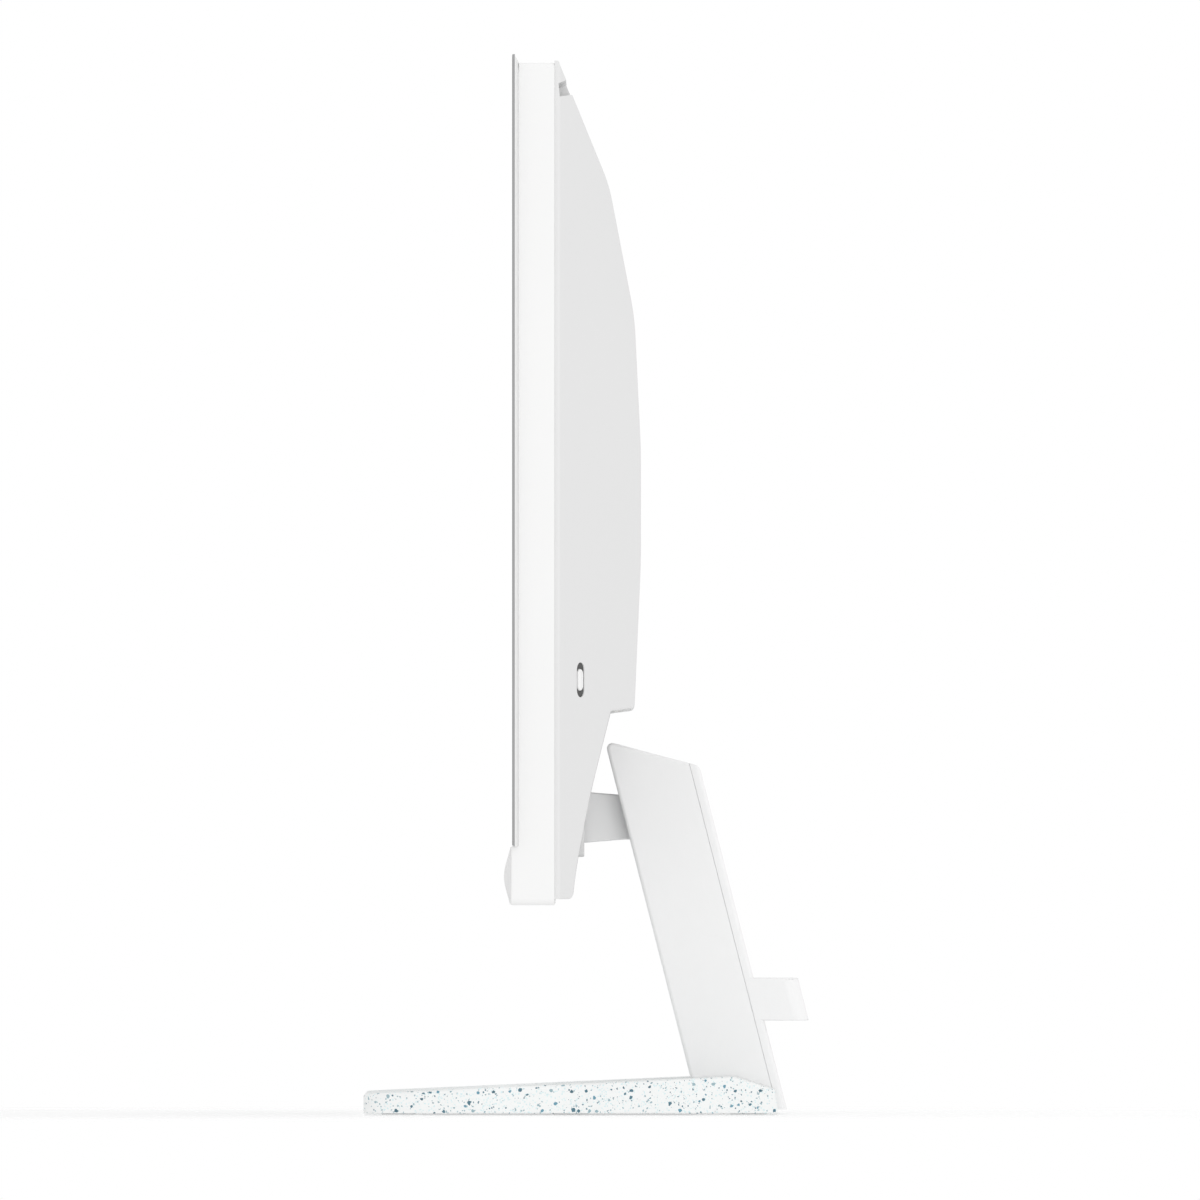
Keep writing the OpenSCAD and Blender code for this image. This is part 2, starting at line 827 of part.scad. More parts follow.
module camera_lens() {
    color("black") on_glass() translate([0, 0, frame_top - 9]) {
        bar_y(4.2, camera_y + 0.4, camera_y + 3);
    }
}

module camera_guide() {
    x = camera_w / 2 + slip;
    z = frame_top - camera_h - 4;
    color("dimgray") on_glass() difference() {
        block([-x - 2, camera_y - 0.9, z], [x + 2, camera_y + camera_t + 1.5, frame_top - frame_wall - 0.2]);
        block([-x, camera_y - slip, z + 1.6], [x, camera_y + camera_t + slip, frame_top]);
        block([-x + 8, camera_y - 2, z + 6], [x - 8, camera_y + camera_t + 3, frame_top]);
    }
}

// ---- Cover screws, seen in the port bay ----

cover_screw_at = [for (x = [-132, -40, 40, 132]) [x, ledge_z - 34]];

module cover_screws() {
    color("dimgray") on_cover() for (p = cover_screw_at)
        translate([p.x, bay_depth, p.y]) pan_screw(1.6, 2.8, 1.4, 9);
}

// ---- Neck ----

// Where the column's front face is at a height.
function column_front(z) = column_front_y - z * lean_t;

neck_start = 6.5; // the neck's full height starts this far behind the tilt axis
neck_flange_h = 30;

module neck_arm() {
    y0 = pivot_y + neck_start;
    y1 = column_front(pivot_z);
    back = y1 + 2 * column_wall + fit + 2.6;
    z1 = neck_h_column / 2;
    color("gainsboro") union() {
        difference() {
            union() {
                at_pivot() {
                    bar_x(ear_r + 0.2, neck_w);
                    block([-neck_w / 2, 0, -ear_r - 0.2], [neck_w / 2, neck_start + 1, ear_r + 0.2]);
                }
                across(neck_w) polygon([
                    [y0, pivot_z - neck_h_head / 2], [y1, pivot_z - z1], [back, pivot_z - z1],
                    [back, pivot_z + z1], [y1, pivot_z + z1], [y0, pivot_z + neck_h_head / 2]
                ]);
            }
            at_pivot() bar_x(shaft_r, neck_w + 1);
        }
        neck_flange();
    }
}

// The flange lies against the back of the core's front web.
module neck_flange() {
    a = 2 * column_wall + fit;
    z0 = pivot_z - neck_flange_h / 2;
    z1 = pivot_z + neck_flange_h / 2 - 4;
    across(42) polygon([
        [column_front(z0) + a, z0], [column_front(z0) + a + 4, z0],
        [column_front(z1) + a + 4, z1], [column_front(z1) + a, z1]
    ]);
}

neck_screw_at = [[-17, -12], [17, -12], [-17, 8], [17, 8]];

module neck_screws() {
    color("dimgray") for (p = neck_screw_at)
        translate([p.x, column_front(pivot_z + p.y) + 2 * column_wall + fit + 4.8, pivot_z + p.y]) {
            bar_y(3.2, 0, 2.4);
        }
}

// ---- Column ----

// Outline from the side between two lines parallel to the front face, a and b behind it.
function column_side(a, b, z0, drop) =
    let (
        t = lean_t,
        r = tan(roof),
        top = column_top - drop,
        y_ref = column_front(column_top),
        corner = function (s) let (y = (column_front_y + s - t * top - t * r * y_ref) / (1 - t * r))
            [y, top - (y - y_ref) * r]
    )
    [[column_front(z0) + a, z0], [column_front(z0) + b, z0], corner(b), corner(a)];

column_top = pivot_z + 30.3;

module column_shell() {
    inner = column_w - 2 * column_wall;
    back = column_d - rear_strip;
    neck_z = neck_h_column / 2 + 0.6;
    side = column_side(0, back, foot_z, 0);
    color("white") difference() {
        across(column_w)
            polygon(concat([side[0], side[1], side[2]], round_corner(side[2], side[3], side[0], 2.2)));
        // hollow, open to the rear and to the foot
        across(inner) polygon(column_side(column_wall, column_d + 1, -5, column_wall));
        // way in for the neck and for the foot plate of the core
        block([-neck_w / 2 - 0.5, -far, pivot_z - neck_z], [neck_w / 2 + 0.5, column_front(pivot_z) + 6, pivot_z + neck_z]);
        block([-inner / 2, -far, -1], [inner / 2, column_front(0) + 5, flange_z + 2.4]);
    }
}

flange_z = 4.2; // top of the base weight, where the core's foot plate lies
flange_len = 38;

module column_core() {
    w = column_w - 2 * column_wall - 2 * fit;
    sheet = 2.2;
    a = column_wall + fit;
    neck_z = neck_h_column / 2 + 0.4;
    front = column_front(flange_z);
    color("gray") difference() {
        union() {
            difference() {
                across(w) polygon(column_side(a, column_d - rear_strip - 3.2, flange_z, 9));
                across(w - 2 * sheet) polygon(column_side(a + sheet, column_d + 2, -5, 8));
            }
            block([-w / 2, front - flange_len, flange_z], [w / 2, front + 8, flange_z + 2]);
        }
        block([-neck_w / 2 - 0.3, -far, pivot_z - neck_z], [neck_w / 2 + 0.3, column_front(pivot_z) + 8, pivot_z + neck_z]);
        for (p = base_screw_at) translate([p.x, p.y, 0]) cylinder(r = 2.6, h = 12);
    }
}

module column_rear_cover() {
    w = column_w - 2 * clip_wall - 2 * fit;
    lip = 1.6;
    color("white") difference() {
        union() {
            across(w) polygon(column_side(column_d - rear_strip, column_d, foot_z, 0));
            across(column_w - 2 * column_wall - 2 * fit)
                polygon(column_side(column_d - rear_strip - lip, column_d - rear_strip + eps, flange_z + 3, 6));
        }
        across(w - 8) polygon(column_side(column_d - rear_strip - lip - 1, column_d - column_wall + 0.4, -5, 10));
    }
}

// ---- Cable clip: a band round the back of the column, open to the sides of it ----

module cable_clip() {
    corner_r = 6.3;
    gap = 0.6;
    z1 = clip_z + clip_h;
    back_y = column_front(clip_z) + column_d + clip_reach;
    front_line = [
        [column_front(clip_z) + column_d - rear_strip + gap, clip_z], [back_y, clip_z],
        [back_y - clip_h * lean_t, z1], [column_front(z1) + column_d - rear_strip + gap, z1]
    ];
    color("white") difference() {
        intersection() {
            across(column_w) polygon(front_line);
            leaning_outline(column_w, back_y, corner_r);
        }
        leaning_outline(column_w - 2 * clip_wall, back_y - clip_wall, corner_r - clip_wall);
    }
}

// A tall plug with two round back corners, which leans as the column does. It is drawn square to the lean.
module leaning_outline(w, back_y, r) {
    translate([0, back_y, clip_z]) rotate([lean, 0, 0]) translate([0, 0, -40])
        linear_extrude(100) scale([1, cos(lean)]) {
            translate([-w / 2, -60]) square([w, 60 - r]);
            translate([-w / 2 + r, -60]) square([w - 2 * r, 60]);
            for (s = [-1, 1]) translate([s * (w / 2 - r), -r]) circle(r = r);
        }
}

// ---- Base ----

base_screw_at = [
    for (p = [[-15, 10], [15, 10], [0, 30]]) [p.x, column_front(flange_z) - p.y]
];

module base_outline() {
    r = base_corner_r;
    translate([-base_w / 2, base_y + r]) square([base_w, base_d - r + 1]);
    translate([-base_w / 2 + r, base_y]) square([base_w - 2 * r, base_d]);
    for (s = [-1, 1]) translate([s * (base_w / 2 - r), base_y + r]) circle(r = r);
}

weight_x = 86;
weight_y0 = base_y + 22;
weight_y1 = column_front(0) - 1;
peak_back = 17.5; // distance from the base's rear edge to its thickest line
rear_h = 9.8;

module base_plate() {
    y1 = base_y + base_d;
    w = column_w + 2 * fit;
    core_w = column_w - 2 * column_wall;
    color("white") difference() {
        intersection() {
            across(base_w + 2) polygon([
                [base_y, base_z], [y1, base_z], [y1 - 1.6, rear_h], [y1 - peak_back, base_peak_h],
                [base_y, base_front_h]
            ]);
            linear_extrude(far) base_outline();
        }
        // slot that the column stands in
        across(w) polygon(column_side(-fit, far, -5, 0));
        // recess under the base for the weight, and above it for the core's foot plate
        block([-weight_x, weight_y0, -1], [weight_x, weight_y1, flange_z + fit]);
        block([-core_w / 2, column_front(flange_z) - flange_len - 1, -1],
            [core_w / 2, column_front(0) + 2, flange_z + 2 + 2 * fit + 1.6]);
        for (p = foot_at) translate([p.x, p.y, 0]) cylinder(r = foot_r + 0.1, h = foot_h + 0.05);
    }
}

foot_r = 7;
foot_h = 2;
foot_at = [
    for (x = [-1, 1], y = [base_y + 14, base_y + base_d / 2, base_y + base_d - 12])
        [x * (base_w / 2 - 13), y]
];

module base_weight() {
    head_r = 4.8;
    color("gray") difference() {
        block([-weight_x + fit, weight_y0 + fit, 1.2], [weight_x - fit, weight_y1 - fit, flange_z]);
        for (p = base_screw_at) translate([p.x, p.y, 0]) {
            cylinder(r = 2.6, h = 12);
            cylinder(r = head_r + 0.1, h = 3.1);
        }
    }
}

module base_screws() {
    color("silver") for (p = base_screw_at) translate([p.x, p.y, 1.3]) {
        cylinder(r = 4.8, h = 1.7);
        cylinder(r = 2.5, h = 6.4);
    }
}

module rubber_feet() {
    color("dimgray") for (p = foot_at) translate([p.x, p.y, 0]) cylinder(r = foot_r, h = foot_h);
}

// ---- Drawn pieces ----

lcd_cell();
optical_films();
light_guide();
led_strip();
panel_tray();
mid_frame();
chin_trim();
rear_cover();
hinge_cover();
chassis_plate();
hinge_bracket();
motherboard();
board_standoffs();
cpu_package();
cooler_plate();
heat_pipe();
heatsink_fins();
fan_housing();
fan_rotor();
memory_modules();
storage_drive();
wifi_card();
coin_cell();
antennas();
panel_driver_board();
display_cable();
speaker_left();
speaker_right();
usb_ports();
hdmi_port();
lan_port();
audio_jack();
power_inlet();
io_shield();
power_button();
button_board();
camera_carriage();
camera_lens();
camera_guide();
cover_screws();
neck_arm();
hinge_shaft();
hinge_washers();
hinge_nuts();
hinge_screws();
neck_screws();
column_shell();
column_core();
column_rear_cover();
cable_clip();
base_plate();
base_weight();
base_screws();
rubber_feet();
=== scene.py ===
"""Looks of an all-in-one desktop computer on a leaning column stand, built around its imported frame."""

import json
import math
from contextlib import contextmanager

import bmesh
import bpy
from bpy.props import FloatProperty, FloatVectorProperty, PointerProperty
from bpy.types import Operator, Panel, PropertyGroup
from mathutils import Matrix, Vector


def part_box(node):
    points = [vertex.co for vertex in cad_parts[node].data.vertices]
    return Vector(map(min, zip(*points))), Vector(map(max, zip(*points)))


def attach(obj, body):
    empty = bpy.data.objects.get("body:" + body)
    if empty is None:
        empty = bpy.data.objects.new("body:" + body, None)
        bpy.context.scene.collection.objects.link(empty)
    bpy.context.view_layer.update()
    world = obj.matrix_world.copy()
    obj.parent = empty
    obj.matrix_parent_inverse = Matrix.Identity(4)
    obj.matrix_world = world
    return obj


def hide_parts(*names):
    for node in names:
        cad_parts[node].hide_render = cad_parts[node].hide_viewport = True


bl_info = {
    "name": "All-in-one Computer",
    "version": (1, 0, 0),
    "blender": (4, 5, 0),
    "location": "View3D > Sidebar > Computer",
    "description": "Builds the housings, stand, controls and finishes of an all-in-one computer",
    "category": "Object",
}

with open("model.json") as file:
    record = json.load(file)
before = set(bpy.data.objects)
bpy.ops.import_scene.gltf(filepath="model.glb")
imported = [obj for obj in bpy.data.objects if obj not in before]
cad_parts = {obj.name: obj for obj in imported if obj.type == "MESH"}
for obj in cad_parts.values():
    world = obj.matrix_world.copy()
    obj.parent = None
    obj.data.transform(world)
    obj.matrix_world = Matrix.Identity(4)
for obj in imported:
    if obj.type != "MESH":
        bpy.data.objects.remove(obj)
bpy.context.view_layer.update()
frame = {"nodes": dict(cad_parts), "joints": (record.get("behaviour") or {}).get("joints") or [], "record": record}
MM = 0.001
HEAD = "head"
STAND = "stand"
HAIR = 0.01 * MM  # margin for telling what lies on a face

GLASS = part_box("lcd_cell")
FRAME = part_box("mid_frame")
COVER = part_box("rear_cover")
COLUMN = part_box("column_shell")
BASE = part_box("base_plate")
JOINTS = {joint["name"]: joint for joint in frame["joints"]}
PIVOT = Vector(JOINTS["head_tilt"]["pos_m"])

CHIN_TOP = GLASS[0].z - 0.15 * MM
DESK_GAP = FRAME[0].z
COLUMN_DEPTH = 31.1 * MM  # without the strip that closes its back
CREST = PIVOT.z + 30.3 * MM  # where the column's front face and roof would meet
FRAME_REAR = FRAME[1].y
FRAME_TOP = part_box("camera_carriage")[1].z


# ---- Sizes and colours that a user may change ----


def length(name, text, value):
    """A length property, given in millimetres and held in metres."""
    return FloatProperty(name=name, description=text, default=value * MM, min=0, unit="LENGTH")


def angle(name, text, degrees):
    """An angle property, given in degrees."""
    return FloatProperty(name=name, description=text, default=math.radians(degrees), subtype="ANGLE")


def colour(name, text, rgb):
    """A colour property."""
    return FloatVectorProperty(
        name=name, description=text, default=(*rgb, 1.0), size=4, min=0, max=1, subtype="COLOR"
    )


class HeadSizes(PropertyGroup):
    flare: length("Flare", "How far the glass stands past the frame", 3.4)
    corner: length("Corner", "Radius of the frame's corners, seen from the front", 2.6)
    wall: length("Wall", "Wall of the frame", 2.2)
    lip: length("Lip", "Width of the lip that carries the glass", 6)
    chin_nose: length("Chin nose", "How far the chin's nose stands out", 3.3)
    nose_hip: length("Nose hip", "Length over which each end of the nose dies away", 24)
    cover_wall: length("Cover wall", "Wall of the rear cover", 2.4)
    cover_bend: length("Cover bend", "Width of the soft bends across the rear cover", 7.5)
    cover_edge: length("Cover edge", "Rounding of the rear cover's outer edge", 0.75)
    plateau: length("Flat back", "Half width of the flat back", 208)
    bay: length("Port bay", "Half width of the port bay", 150)
    bay_depth: length("Port bay depth", "Depth of the port bay's floor behind the frame", 10)
    rim: length("Rim", "Depth of the rear cover's straight rim", 2.1)
    vent: length("Air slot", "Height of the air slot across the top", 6.8)
    button_w: length("Button slot width", "Width of the power button's slot", 6)
    button_h: length("Button slot height", "Height of the power button's slot", 13.7)


class StandSizes(PropertyGroup):
    lean: angle("Lean", "How far the column leans towards the screen", 14.3)
    roof: angle("Roof", "Slope of the column's top", 14.8)
    strip: length("Back strip", "Depth of the strip that closes the column's back", 3.9)
    column_wall: length("Column wall", "Wall of the column", 2.4)
    column_edge: length("Column edge", "Rounding of the column's long edges", 1.4)
    column_corner: length("Column corner", "Reach of the round at the column's top front corner", 3.7)
    corner: length("Base corner", "Radius of the base's front corners", 11)
    base_edge: length("Base edge", "Rounding of the base's top edge", 1.3)


class Colours(PropertyGroup):
    frame: colour("Frame", "Frame and camera", (0.78, 0.78, 0.778))
    # A darker copy of the frame's white: painted shade for the rear cover's sloping sides, also used on the hinge
    # cover and the vent fins.
    cover: colour("Rear cover", "Rear cover and hinge cover", (0.68, 0.68, 0.68))
    # A darker copy of the frame's white: painted shade for the nose, whose faces look forward and down.
    nose: colour("Chin nose", "Bowed front of the chin", (0.72, 0.72, 0.72))
    stand: colour("Stand", "Column, neck and cable clip", (0.82, 0.82, 0.82))
    slab: colour("Base", "Ground colour of the speckled base", (0.82, 0.83, 0.825))
    chip_dark: colour("Dark chips", "Slate chips in the base", (0.075, 0.17, 0.22))
    chip_mid: colour("Middle chips", "Grey chips in the base", (0.30, 0.42, 0.46))
    chip_pale: colour("Pale chips", "Mint chips in the base", (0.62, 0.76, 0.78))
    glass: colour("Display", "Display glass", (0.004, 0.004, 0.005))
    glass_edge: colour("Display edge", "Cut edge of the display glass", (0.30, 0.30, 0.305))


# ---- Modelling by hand ----


def deselect():
    bpy.ops.object.select_all(action="DESELECT")


def activate(obj):
    """Makes one object the selected and active one."""
    deselect()
    obj.select_set(True)
    bpy.context.view_layer.objects.active = obj


def settle(obj, name):
    """Names a new object and applies its place, so that it sits at the origin."""
    activate(obj)
    obj.name = name
    obj.data.name = name
    bpy.ops.object.transform_apply(location=True, rotation=True, scale=True)
    return obj


def block(name, low, high):
    """A box between two corners."""
    low, high = Vector(low), Vector(high)
    deselect()
    bpy.ops.mesh.primitive_cube_add(size=1, location=(low + high) / 2, scale=high - low)
    return settle(bpy.context.object, name)


def rod(name, radius, start, end, vertices=48):
    """A round bar between two points."""
    start, end = Vector(start), Vector(end)
    run = end - start
    deselect()
    bpy.ops.mesh.primitive_cylinder_add(
        radius=radius,
        depth=run.length,
        vertices=vertices,
        location=(start + end) / 2,
        rotation=run.to_track_quat("Z", "Y").to_euler(),
    )
    return settle(bpy.context.object, name)


@contextmanager
def editing(obj, mode="EDGE"):
    """Edit mode on one object, with nothing selected at first."""
    activate(obj)
    bpy.ops.object.mode_set(mode="EDIT")
    bpy.ops.mesh.select_mode(type=mode)
    bpy.ops.mesh.select_all(action="DESELECT")
    yield bmesh.from_edit_mesh(obj.data)
    bpy.ops.object.mode_set(mode="OBJECT")


def pick_edges(mesh, test):
    """Selects the edges whose two ends pass a test."""
    for edge in mesh.edges:
        edge.select_set(test(edge.verts[0].co, edge.verts[1].co))


def pick_faces(mesh, test):
    """Selects the faces whose centre and normal pass a test."""
    for face in mesh.faces:
        face.select_set(test(face.calc_center_median(), face.normal))


def along_y(a, b):
    """Whether an edge runs along Y."""
    return a.x == b.x and a.z == b.z


def along_z(a, b):
    """Whether an edge runs along Z."""
    return a.x == b.x and a.y == b.y


def past(axis, limit):
    """A test for edges that lie past a limit along an axis: 0 for X, 1 for Y, 2 for Z."""
    return lambda a, b: a[axis] > limit and b[axis] > limit


def short_of(axis, limit):
    """A test for edges that lie short of a limit along an axis."""
    return lambda a, b: a[axis] < limit and b[axis] < limit


def round_edges(obj, width, segments, test):
    """Rounds the edges whose two ends pass a test."""
    with editing(obj) as mesh:
        pick_edges(mesh, test)
        bpy.ops.mesh.bevel(offset=width, segments=segments, affect="EDGES", clamp_overlap=False)
    return obj


def slice_off(obj, point, outward):
    """Cuts away what lies beyond a plane and closes the cut."""
    with editing(obj):
        bpy.ops.mesh.select_all(action="SELECT")
        bpy.ops.mesh.bisect(plane_co=point, plane_no=outward, use_fill=True, clear_outer=True)
    return obj


def draw(name, points, pull):
    """Draws a closed outline through points, fills it and pulls it into a solid."""
    points = [Vector(p) for p in points]
    deselect()
    bpy.ops.mesh.primitive_plane_add(size=MM, location=points[0])
    obj = settle(bpy.context.object, name)
    with editing(obj, "VERT"):
        bpy.ops.mesh.select_all(action="SELECT")
        bpy.ops.mesh.merge(type="CENTER")
        for here, there in zip(points, points[1:]):
            bpy.ops.mesh.extrude_region_move(TRANSFORM_OT_translate={"value": there - here})
        bpy.ops.mesh.select_all(action="SELECT")
        bpy.ops.mesh.edge_face_add()
        bpy.ops.mesh.extrude_region_move(TRANSFORM_OT_translate={"value": Vector(pull)})
        bpy.ops.mesh.select_all(action="SELECT")
        bpy.ops.mesh.normals_make_consistent(inside=False)
    return obj


def side_outline(name, points, half_width):
    """A solid with an outline of (y, z) points, centred across X."""
    return draw(name, [(-half_width, y, z) for y, z in points], (2 * half_width, 0, 0))


def joined(name, objects):
    """Joins objects into one."""
    activate(objects[0])
    for obj in objects:
        obj.select_set(True)
    bpy.ops.object.join()
    objects[0].name = name
    objects[0].data.name = name
    return objects[0]


def modify(obj, kind, **settings):
    """Adds a modifier with its settings and applies it."""
    activate(obj)
    bpy.ops.object.modifier_add(type=kind)
    modifier = obj.modifiers[-1]
    for key, value in settings.items():
        setattr(modifier, key, value)
    bpy.ops.object.modifier_apply(modifier=modifier.name)
    return obj


def combine(obj, others, operation):
    """Cuts others from an object, or unites or intersects them, and removes them."""
    for other in others:
        modify(obj, "BOOLEAN", operation=operation, solver="EXACT", object=other)
        bpy.data.objects.remove(other, do_unlink=True)
    return obj


def cut(obj, *tools):
    return combine(obj, tools, "DIFFERENCE")


def copy_of(node, name):
    """A copy of a CAD node's mesh with its triangles merged into flat faces."""
    activate(frame["nodes"][node])
    bpy.ops.object.duplicate()
    obj = bpy.context.object
    for key in list(obj.keys()):
        del obj[key]
    obj.parent = None
    obj.name = name
    obj.data.name = name
    obj.data.materials.clear()
    with editing(obj, "VERT"):
        bpy.ops.mesh.select_all(action="SELECT")
        bpy.ops.mesh.remove_doubles(threshold=0.002 * MM)
        bpy.ops.mesh.dissolve_limited(angle_limit=math.radians(0.5))
    return obj


def soften(obj, width=0.3 * MM, segments=2, sharper_than=35):
    """Takes the sharpness off every edge that turns by more than an angle."""
    return modify(
        obj, "BEVEL", width=width, segments=segments, limit_method="ANGLE",
        angle_limit=math.radians(sharper_than), use_clamp_overlap=False, harden_normals=False,
        miter_outer="MITER_ARC",
    )


def repeated(obj, count, step):
    """Copies an object along a line, as one object."""
    return modify(
        obj, "ARRAY", count=count, use_relative_offset=False, use_constant_offset=True,
        constant_offset_displace=step,
    )


def finish(obj, body, slot, material, *nodes, smooth=32):
    """Shades a finished piece and fixes it to its body, its finish and the nodes it stands for."""
    activate(obj)
    bpy.ops.object.shade_smooth_by_angle(angle=math.radians(smooth))
    modify(obj, "WEIGHTED_NORMAL", keep_sharp=True)
    obj.data.materials.clear()
    obj.data.materials.append(material)
    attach(obj, body)
    if nodes:
        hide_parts(*nodes)
    return obj


# ---- Shaders ----


class Wire:
    """A socket that Python's arithmetic works on: an expression adds its Math nodes."""

    def __init__(self, finish_tree, socket):
        self.owner = finish_tree
        self.socket = socket

    def math(self, operation, *values):
        node = self.owner.add("ShaderNodeMath", {"operation": operation}, dict(enumerate(values)))
        return self.owner.out(node, 0)

    def __add__(self, other):
        return self.math("ADD", self, other)

    def __radd__(self, other):
        return self.math("ADD", other, self)

    def __sub__(self, other):
        return self.math("SUBTRACT", self, other)

    def __rsub__(self, other):
        return self.math("SUBTRACT", other, self)

    def __mul__(self, other):
        return self.math("MULTIPLY", self, other)

    def __rmul__(self, other):
        return self.math("MULTIPLY", other, self)

    def __truediv__(self, other):
        return self.math("DIVIDE", self, other)

    def __lt__(self, other):
        return self.math("LESS_THAN", self, other)

    def __gt__(self, other):
        return self.math("GREATER_THAN", self, other)

    def fraction(self):
        return self.math("FRACT", self)

    def size(self):
        return self.math("ABSOLUTE", self)


class Finish:
    """A material and its node tree."""

    def __init__(self, name, color, roughness, **sockets):
        self.material = bpy.data.materials.new(name)
        self.material.use_nodes = True
        self.tree = self.material.node_tree
        self.shader = self.tree.nodes["Principled BSDF"]
        self.set("Base Color", color)
        self.set("Roughness", roughness)
        for key, value in sockets.items():
            self.set(key.replace("_", " "), value)

    def set(self, key, value):
        """Sets or links one of the shader's own sockets."""
        self.feed(self.shader.inputs[key], value)

    def feed(self, socket, value):
        if isinstance(value, Wire):
            self.tree.links.new(value.socket, socket)
        elif socket.type == "RGBA" and len(value) == 3:
            socket.default_value = (*value, 1.0)
        else:
            socket.default_value = value

    def add(self, kind, settings=None, inputs=None):
        """Adds a node: its settings are set first, then the values or links of its sockets."""
        node = self.tree.nodes.new(kind)
        for key, value in (settings or {}).items():
            if key == "stops":
                self.place_stops(node.color_ramp, value)
            else:
                setattr(node, key, value)
        for key, value in (inputs or {}).items():
            self.feed(node.inputs[key], value)
        return node

    def out(self, node, key):
        return Wire(self, node.outputs[key])

    def place_stops(self, ramp, stops):
        while len(ramp.elements) > 1:
            ramp.elements.remove(ramp.elements[-1])
        for index, (position, value) in enumerate(stops):
            element = ramp.elements[0] if index == 0 else ramp.elements.new(position)
            element.position = position
            element.color = (*value[:3], 1.0)

    def place(self):
        """The point on the piece, in its own coordinates."""
        return self.out(self.add("ShaderNodeTexCoord"), "Object")

    def scaled(self, vector, scale):
        """A vector multiplied along each axis."""
        node = self.add("ShaderNodeVectorMath", {"operation": "MULTIPLY"}, {0: vector, 1: scale})
        return self.out(node, 0)

    def noise(self, vector, scale, detail=2.0):
        node = self.add(
            "ShaderNodeTexNoise", {}, {"Vector": vector, "Scale": scale, "Detail": detail}
        )
        return self.out(node, 0)

    def axes(self, vector):
        node = self.add("ShaderNodeSeparateXYZ", {}, {0: vector})
        return [self.out(node, i) for i in range(3)]

    def ramp(self, factor, stops, interpolation="LINEAR"):
        node = self.add("ShaderNodeValToRGB", {"stops": stops}, {"Fac": factor})
        node.color_ramp.interpolation = interpolation
        return self.out(node, 0)

    def blend(self, factor, first, second):
        """Mixes two colours."""
        node = self.add(
            "ShaderNodeMix", {"data_type": "RGBA"}, {"Factor": factor, 6: first, 7: second}
        )
        return self.out(node, 2)

    def relief(self, height, depth, strength=1.0):
        """Feeds a height to the normal."""
        node = self.add(
            "ShaderNodeBump", {}, {"Height": height, "Distance": depth, "Strength": strength}
        )
        self.set("Normal", self.out(node, 0))


def shade(color, amount):
    """A colour made lighter or darker, by a factor."""
    return tuple(min(1.0, c * amount) for c in color[:3])


def moulded(name, color, roughness=0.42, grain=0.012):
    """Moulded plastic with a fine spark-eroded texture and a little unevenness."""
    f = Finish(name, color, roughness, Specular_IOR_Level=0.4)
    place = f.place()
    broad = f.noise(place, 9.0, 3.0)
    fine = f.noise(place, 2600.0, 2.0)
    f.set("Base Color", f.blend(broad, shade(color, 0.985), shade(color, 1.012)))
    f.set("Roughness", roughness - 0.03 + broad * 0.04 + fine * 0.05)
    f.relief(fine, grain * MM)
    return f.material


def speckled(colours):
    """Cast terrazzo: chips of three sizes scattered through a pale ground."""
    f = Finish("speckled_slab", colours.slab, 0.5, Specular_IOR_Level=0.35)
    place = f.place()
    warp = f.add("ShaderNodeTexNoise", {}, {"Vector": place, "Scale": 1100.0, "Detail": 2.0})
    shift = f.scaled(f.out(warp, "Color"), (0.0011,) * 3)
    wavy = f.out(f.add("ShaderNodeVectorMath", {"operation": "ADD"}, {0: place, 1: shift}), 0)
    ground = f.noise(place, 60.0, 3.0)
    tone = f.blend(ground, shade(colours.slab, 0.975), shade(colours.slab, 1.015))
    dark, mid, pale = colours.chip_dark, colours.chip_mid, colours.chip_pale
    layers = (
        (1250.0, 0.40, 0.42, ((0.0, pale), (0.45, mid), (0.66, pale), (0.88, dark))),
        (720.0, 0.34, 0.34, ((0.0, pale), (0.34, mid), (0.62, dark), (0.80, shade(mid, 0.8)))),
        (390.0, 0.26, 0.20, ((0.0, dark), (0.35, shade(dark, 1.7)), (0.62, mid), (0.82, shade(dark, 0.8)))),
    )
    height = 0.0
    for scale, reach, share, stops in layers:
        cells = f.add(
            "ShaderNodeTexVoronoi", {"feature": "F1"}, {"Vector": wavy, "Scale": scale, "Randomness": 1.0}
        )
        chance, kind, spread = f.axes(f.out(cells, "Color"))
        inside = (f.out(cells, "Distance") < reach * (0.45 + spread * 0.75)) * (chance < share)
        tone = f.blend(inside, tone, f.ramp(kind, stops, "CONSTANT"))
        height = inside * 0.4 + height
    f.set("Base Color", tone)
    f.set("Roughness", 0.47 + ground * 0.08 - height * 0.1)
    f.relief(f.noise(place, 1800.0), 0.012 * MM)
    return f.material


def display_finish(colours):
    """Display glass: a black border round a slightly lighter picture area, and a grey cut edge."""
    f = Finish("display_glass", colours.glass, 0.07, Specular_IOR_Level=0.28)
    x, y, z = f.axes(f.place())
    middle = (GLASS[0] + GLASS[1]) / 2
    half = (GLASS[1] - GLASS[0]) / 2
    side, top, bottom = 5.5 * MM, 5.5 * MM, 9 * MM
    across = (x.size() < half.x - side) * (z < GLASS[1].z - top) * (z > GLASS[0].z + bottom)
    edge = y > GLASS[0].y + 0.12 * MM
    picture = f.blend(across, colours.glass, (0.011, 0.0115, 0.014))
    f.set("Base Color", f.blend(edge, picture, colours.glass_edge))
    smear = f.noise(f.place(), 14.0, 4.0)
    f.set("Roughness", 0.05 + smear * 0.05 + edge * 0.35)
    f.relief(f.noise(f.place(), 900.0), 0.002 * MM, 0.4)
    return f.material


def metal(name, color, roughness=0.3, grain=(1.0, 1.0, 1.0), scale=900.0):
    """Metal with a rolled, brushed or plated grain along one axis."""
    f = Finish(name, color, roughness, Metallic=1.0)
    streaks = f.noise(f.scaled(f.place(), grain), scale, 3.0)
    cloud = f.noise(f.place(), 35.0, 3.0)
    f.set("Base Color", f.blend(cloud, shade(color, 0.86), shade(color, 1.06)))
    f.set("Roughness", roughness - 0.08 + streaks * 0.14 + cloud * 0.06)
    f.relief(streaks, 0.01 * MM)
    return f.material


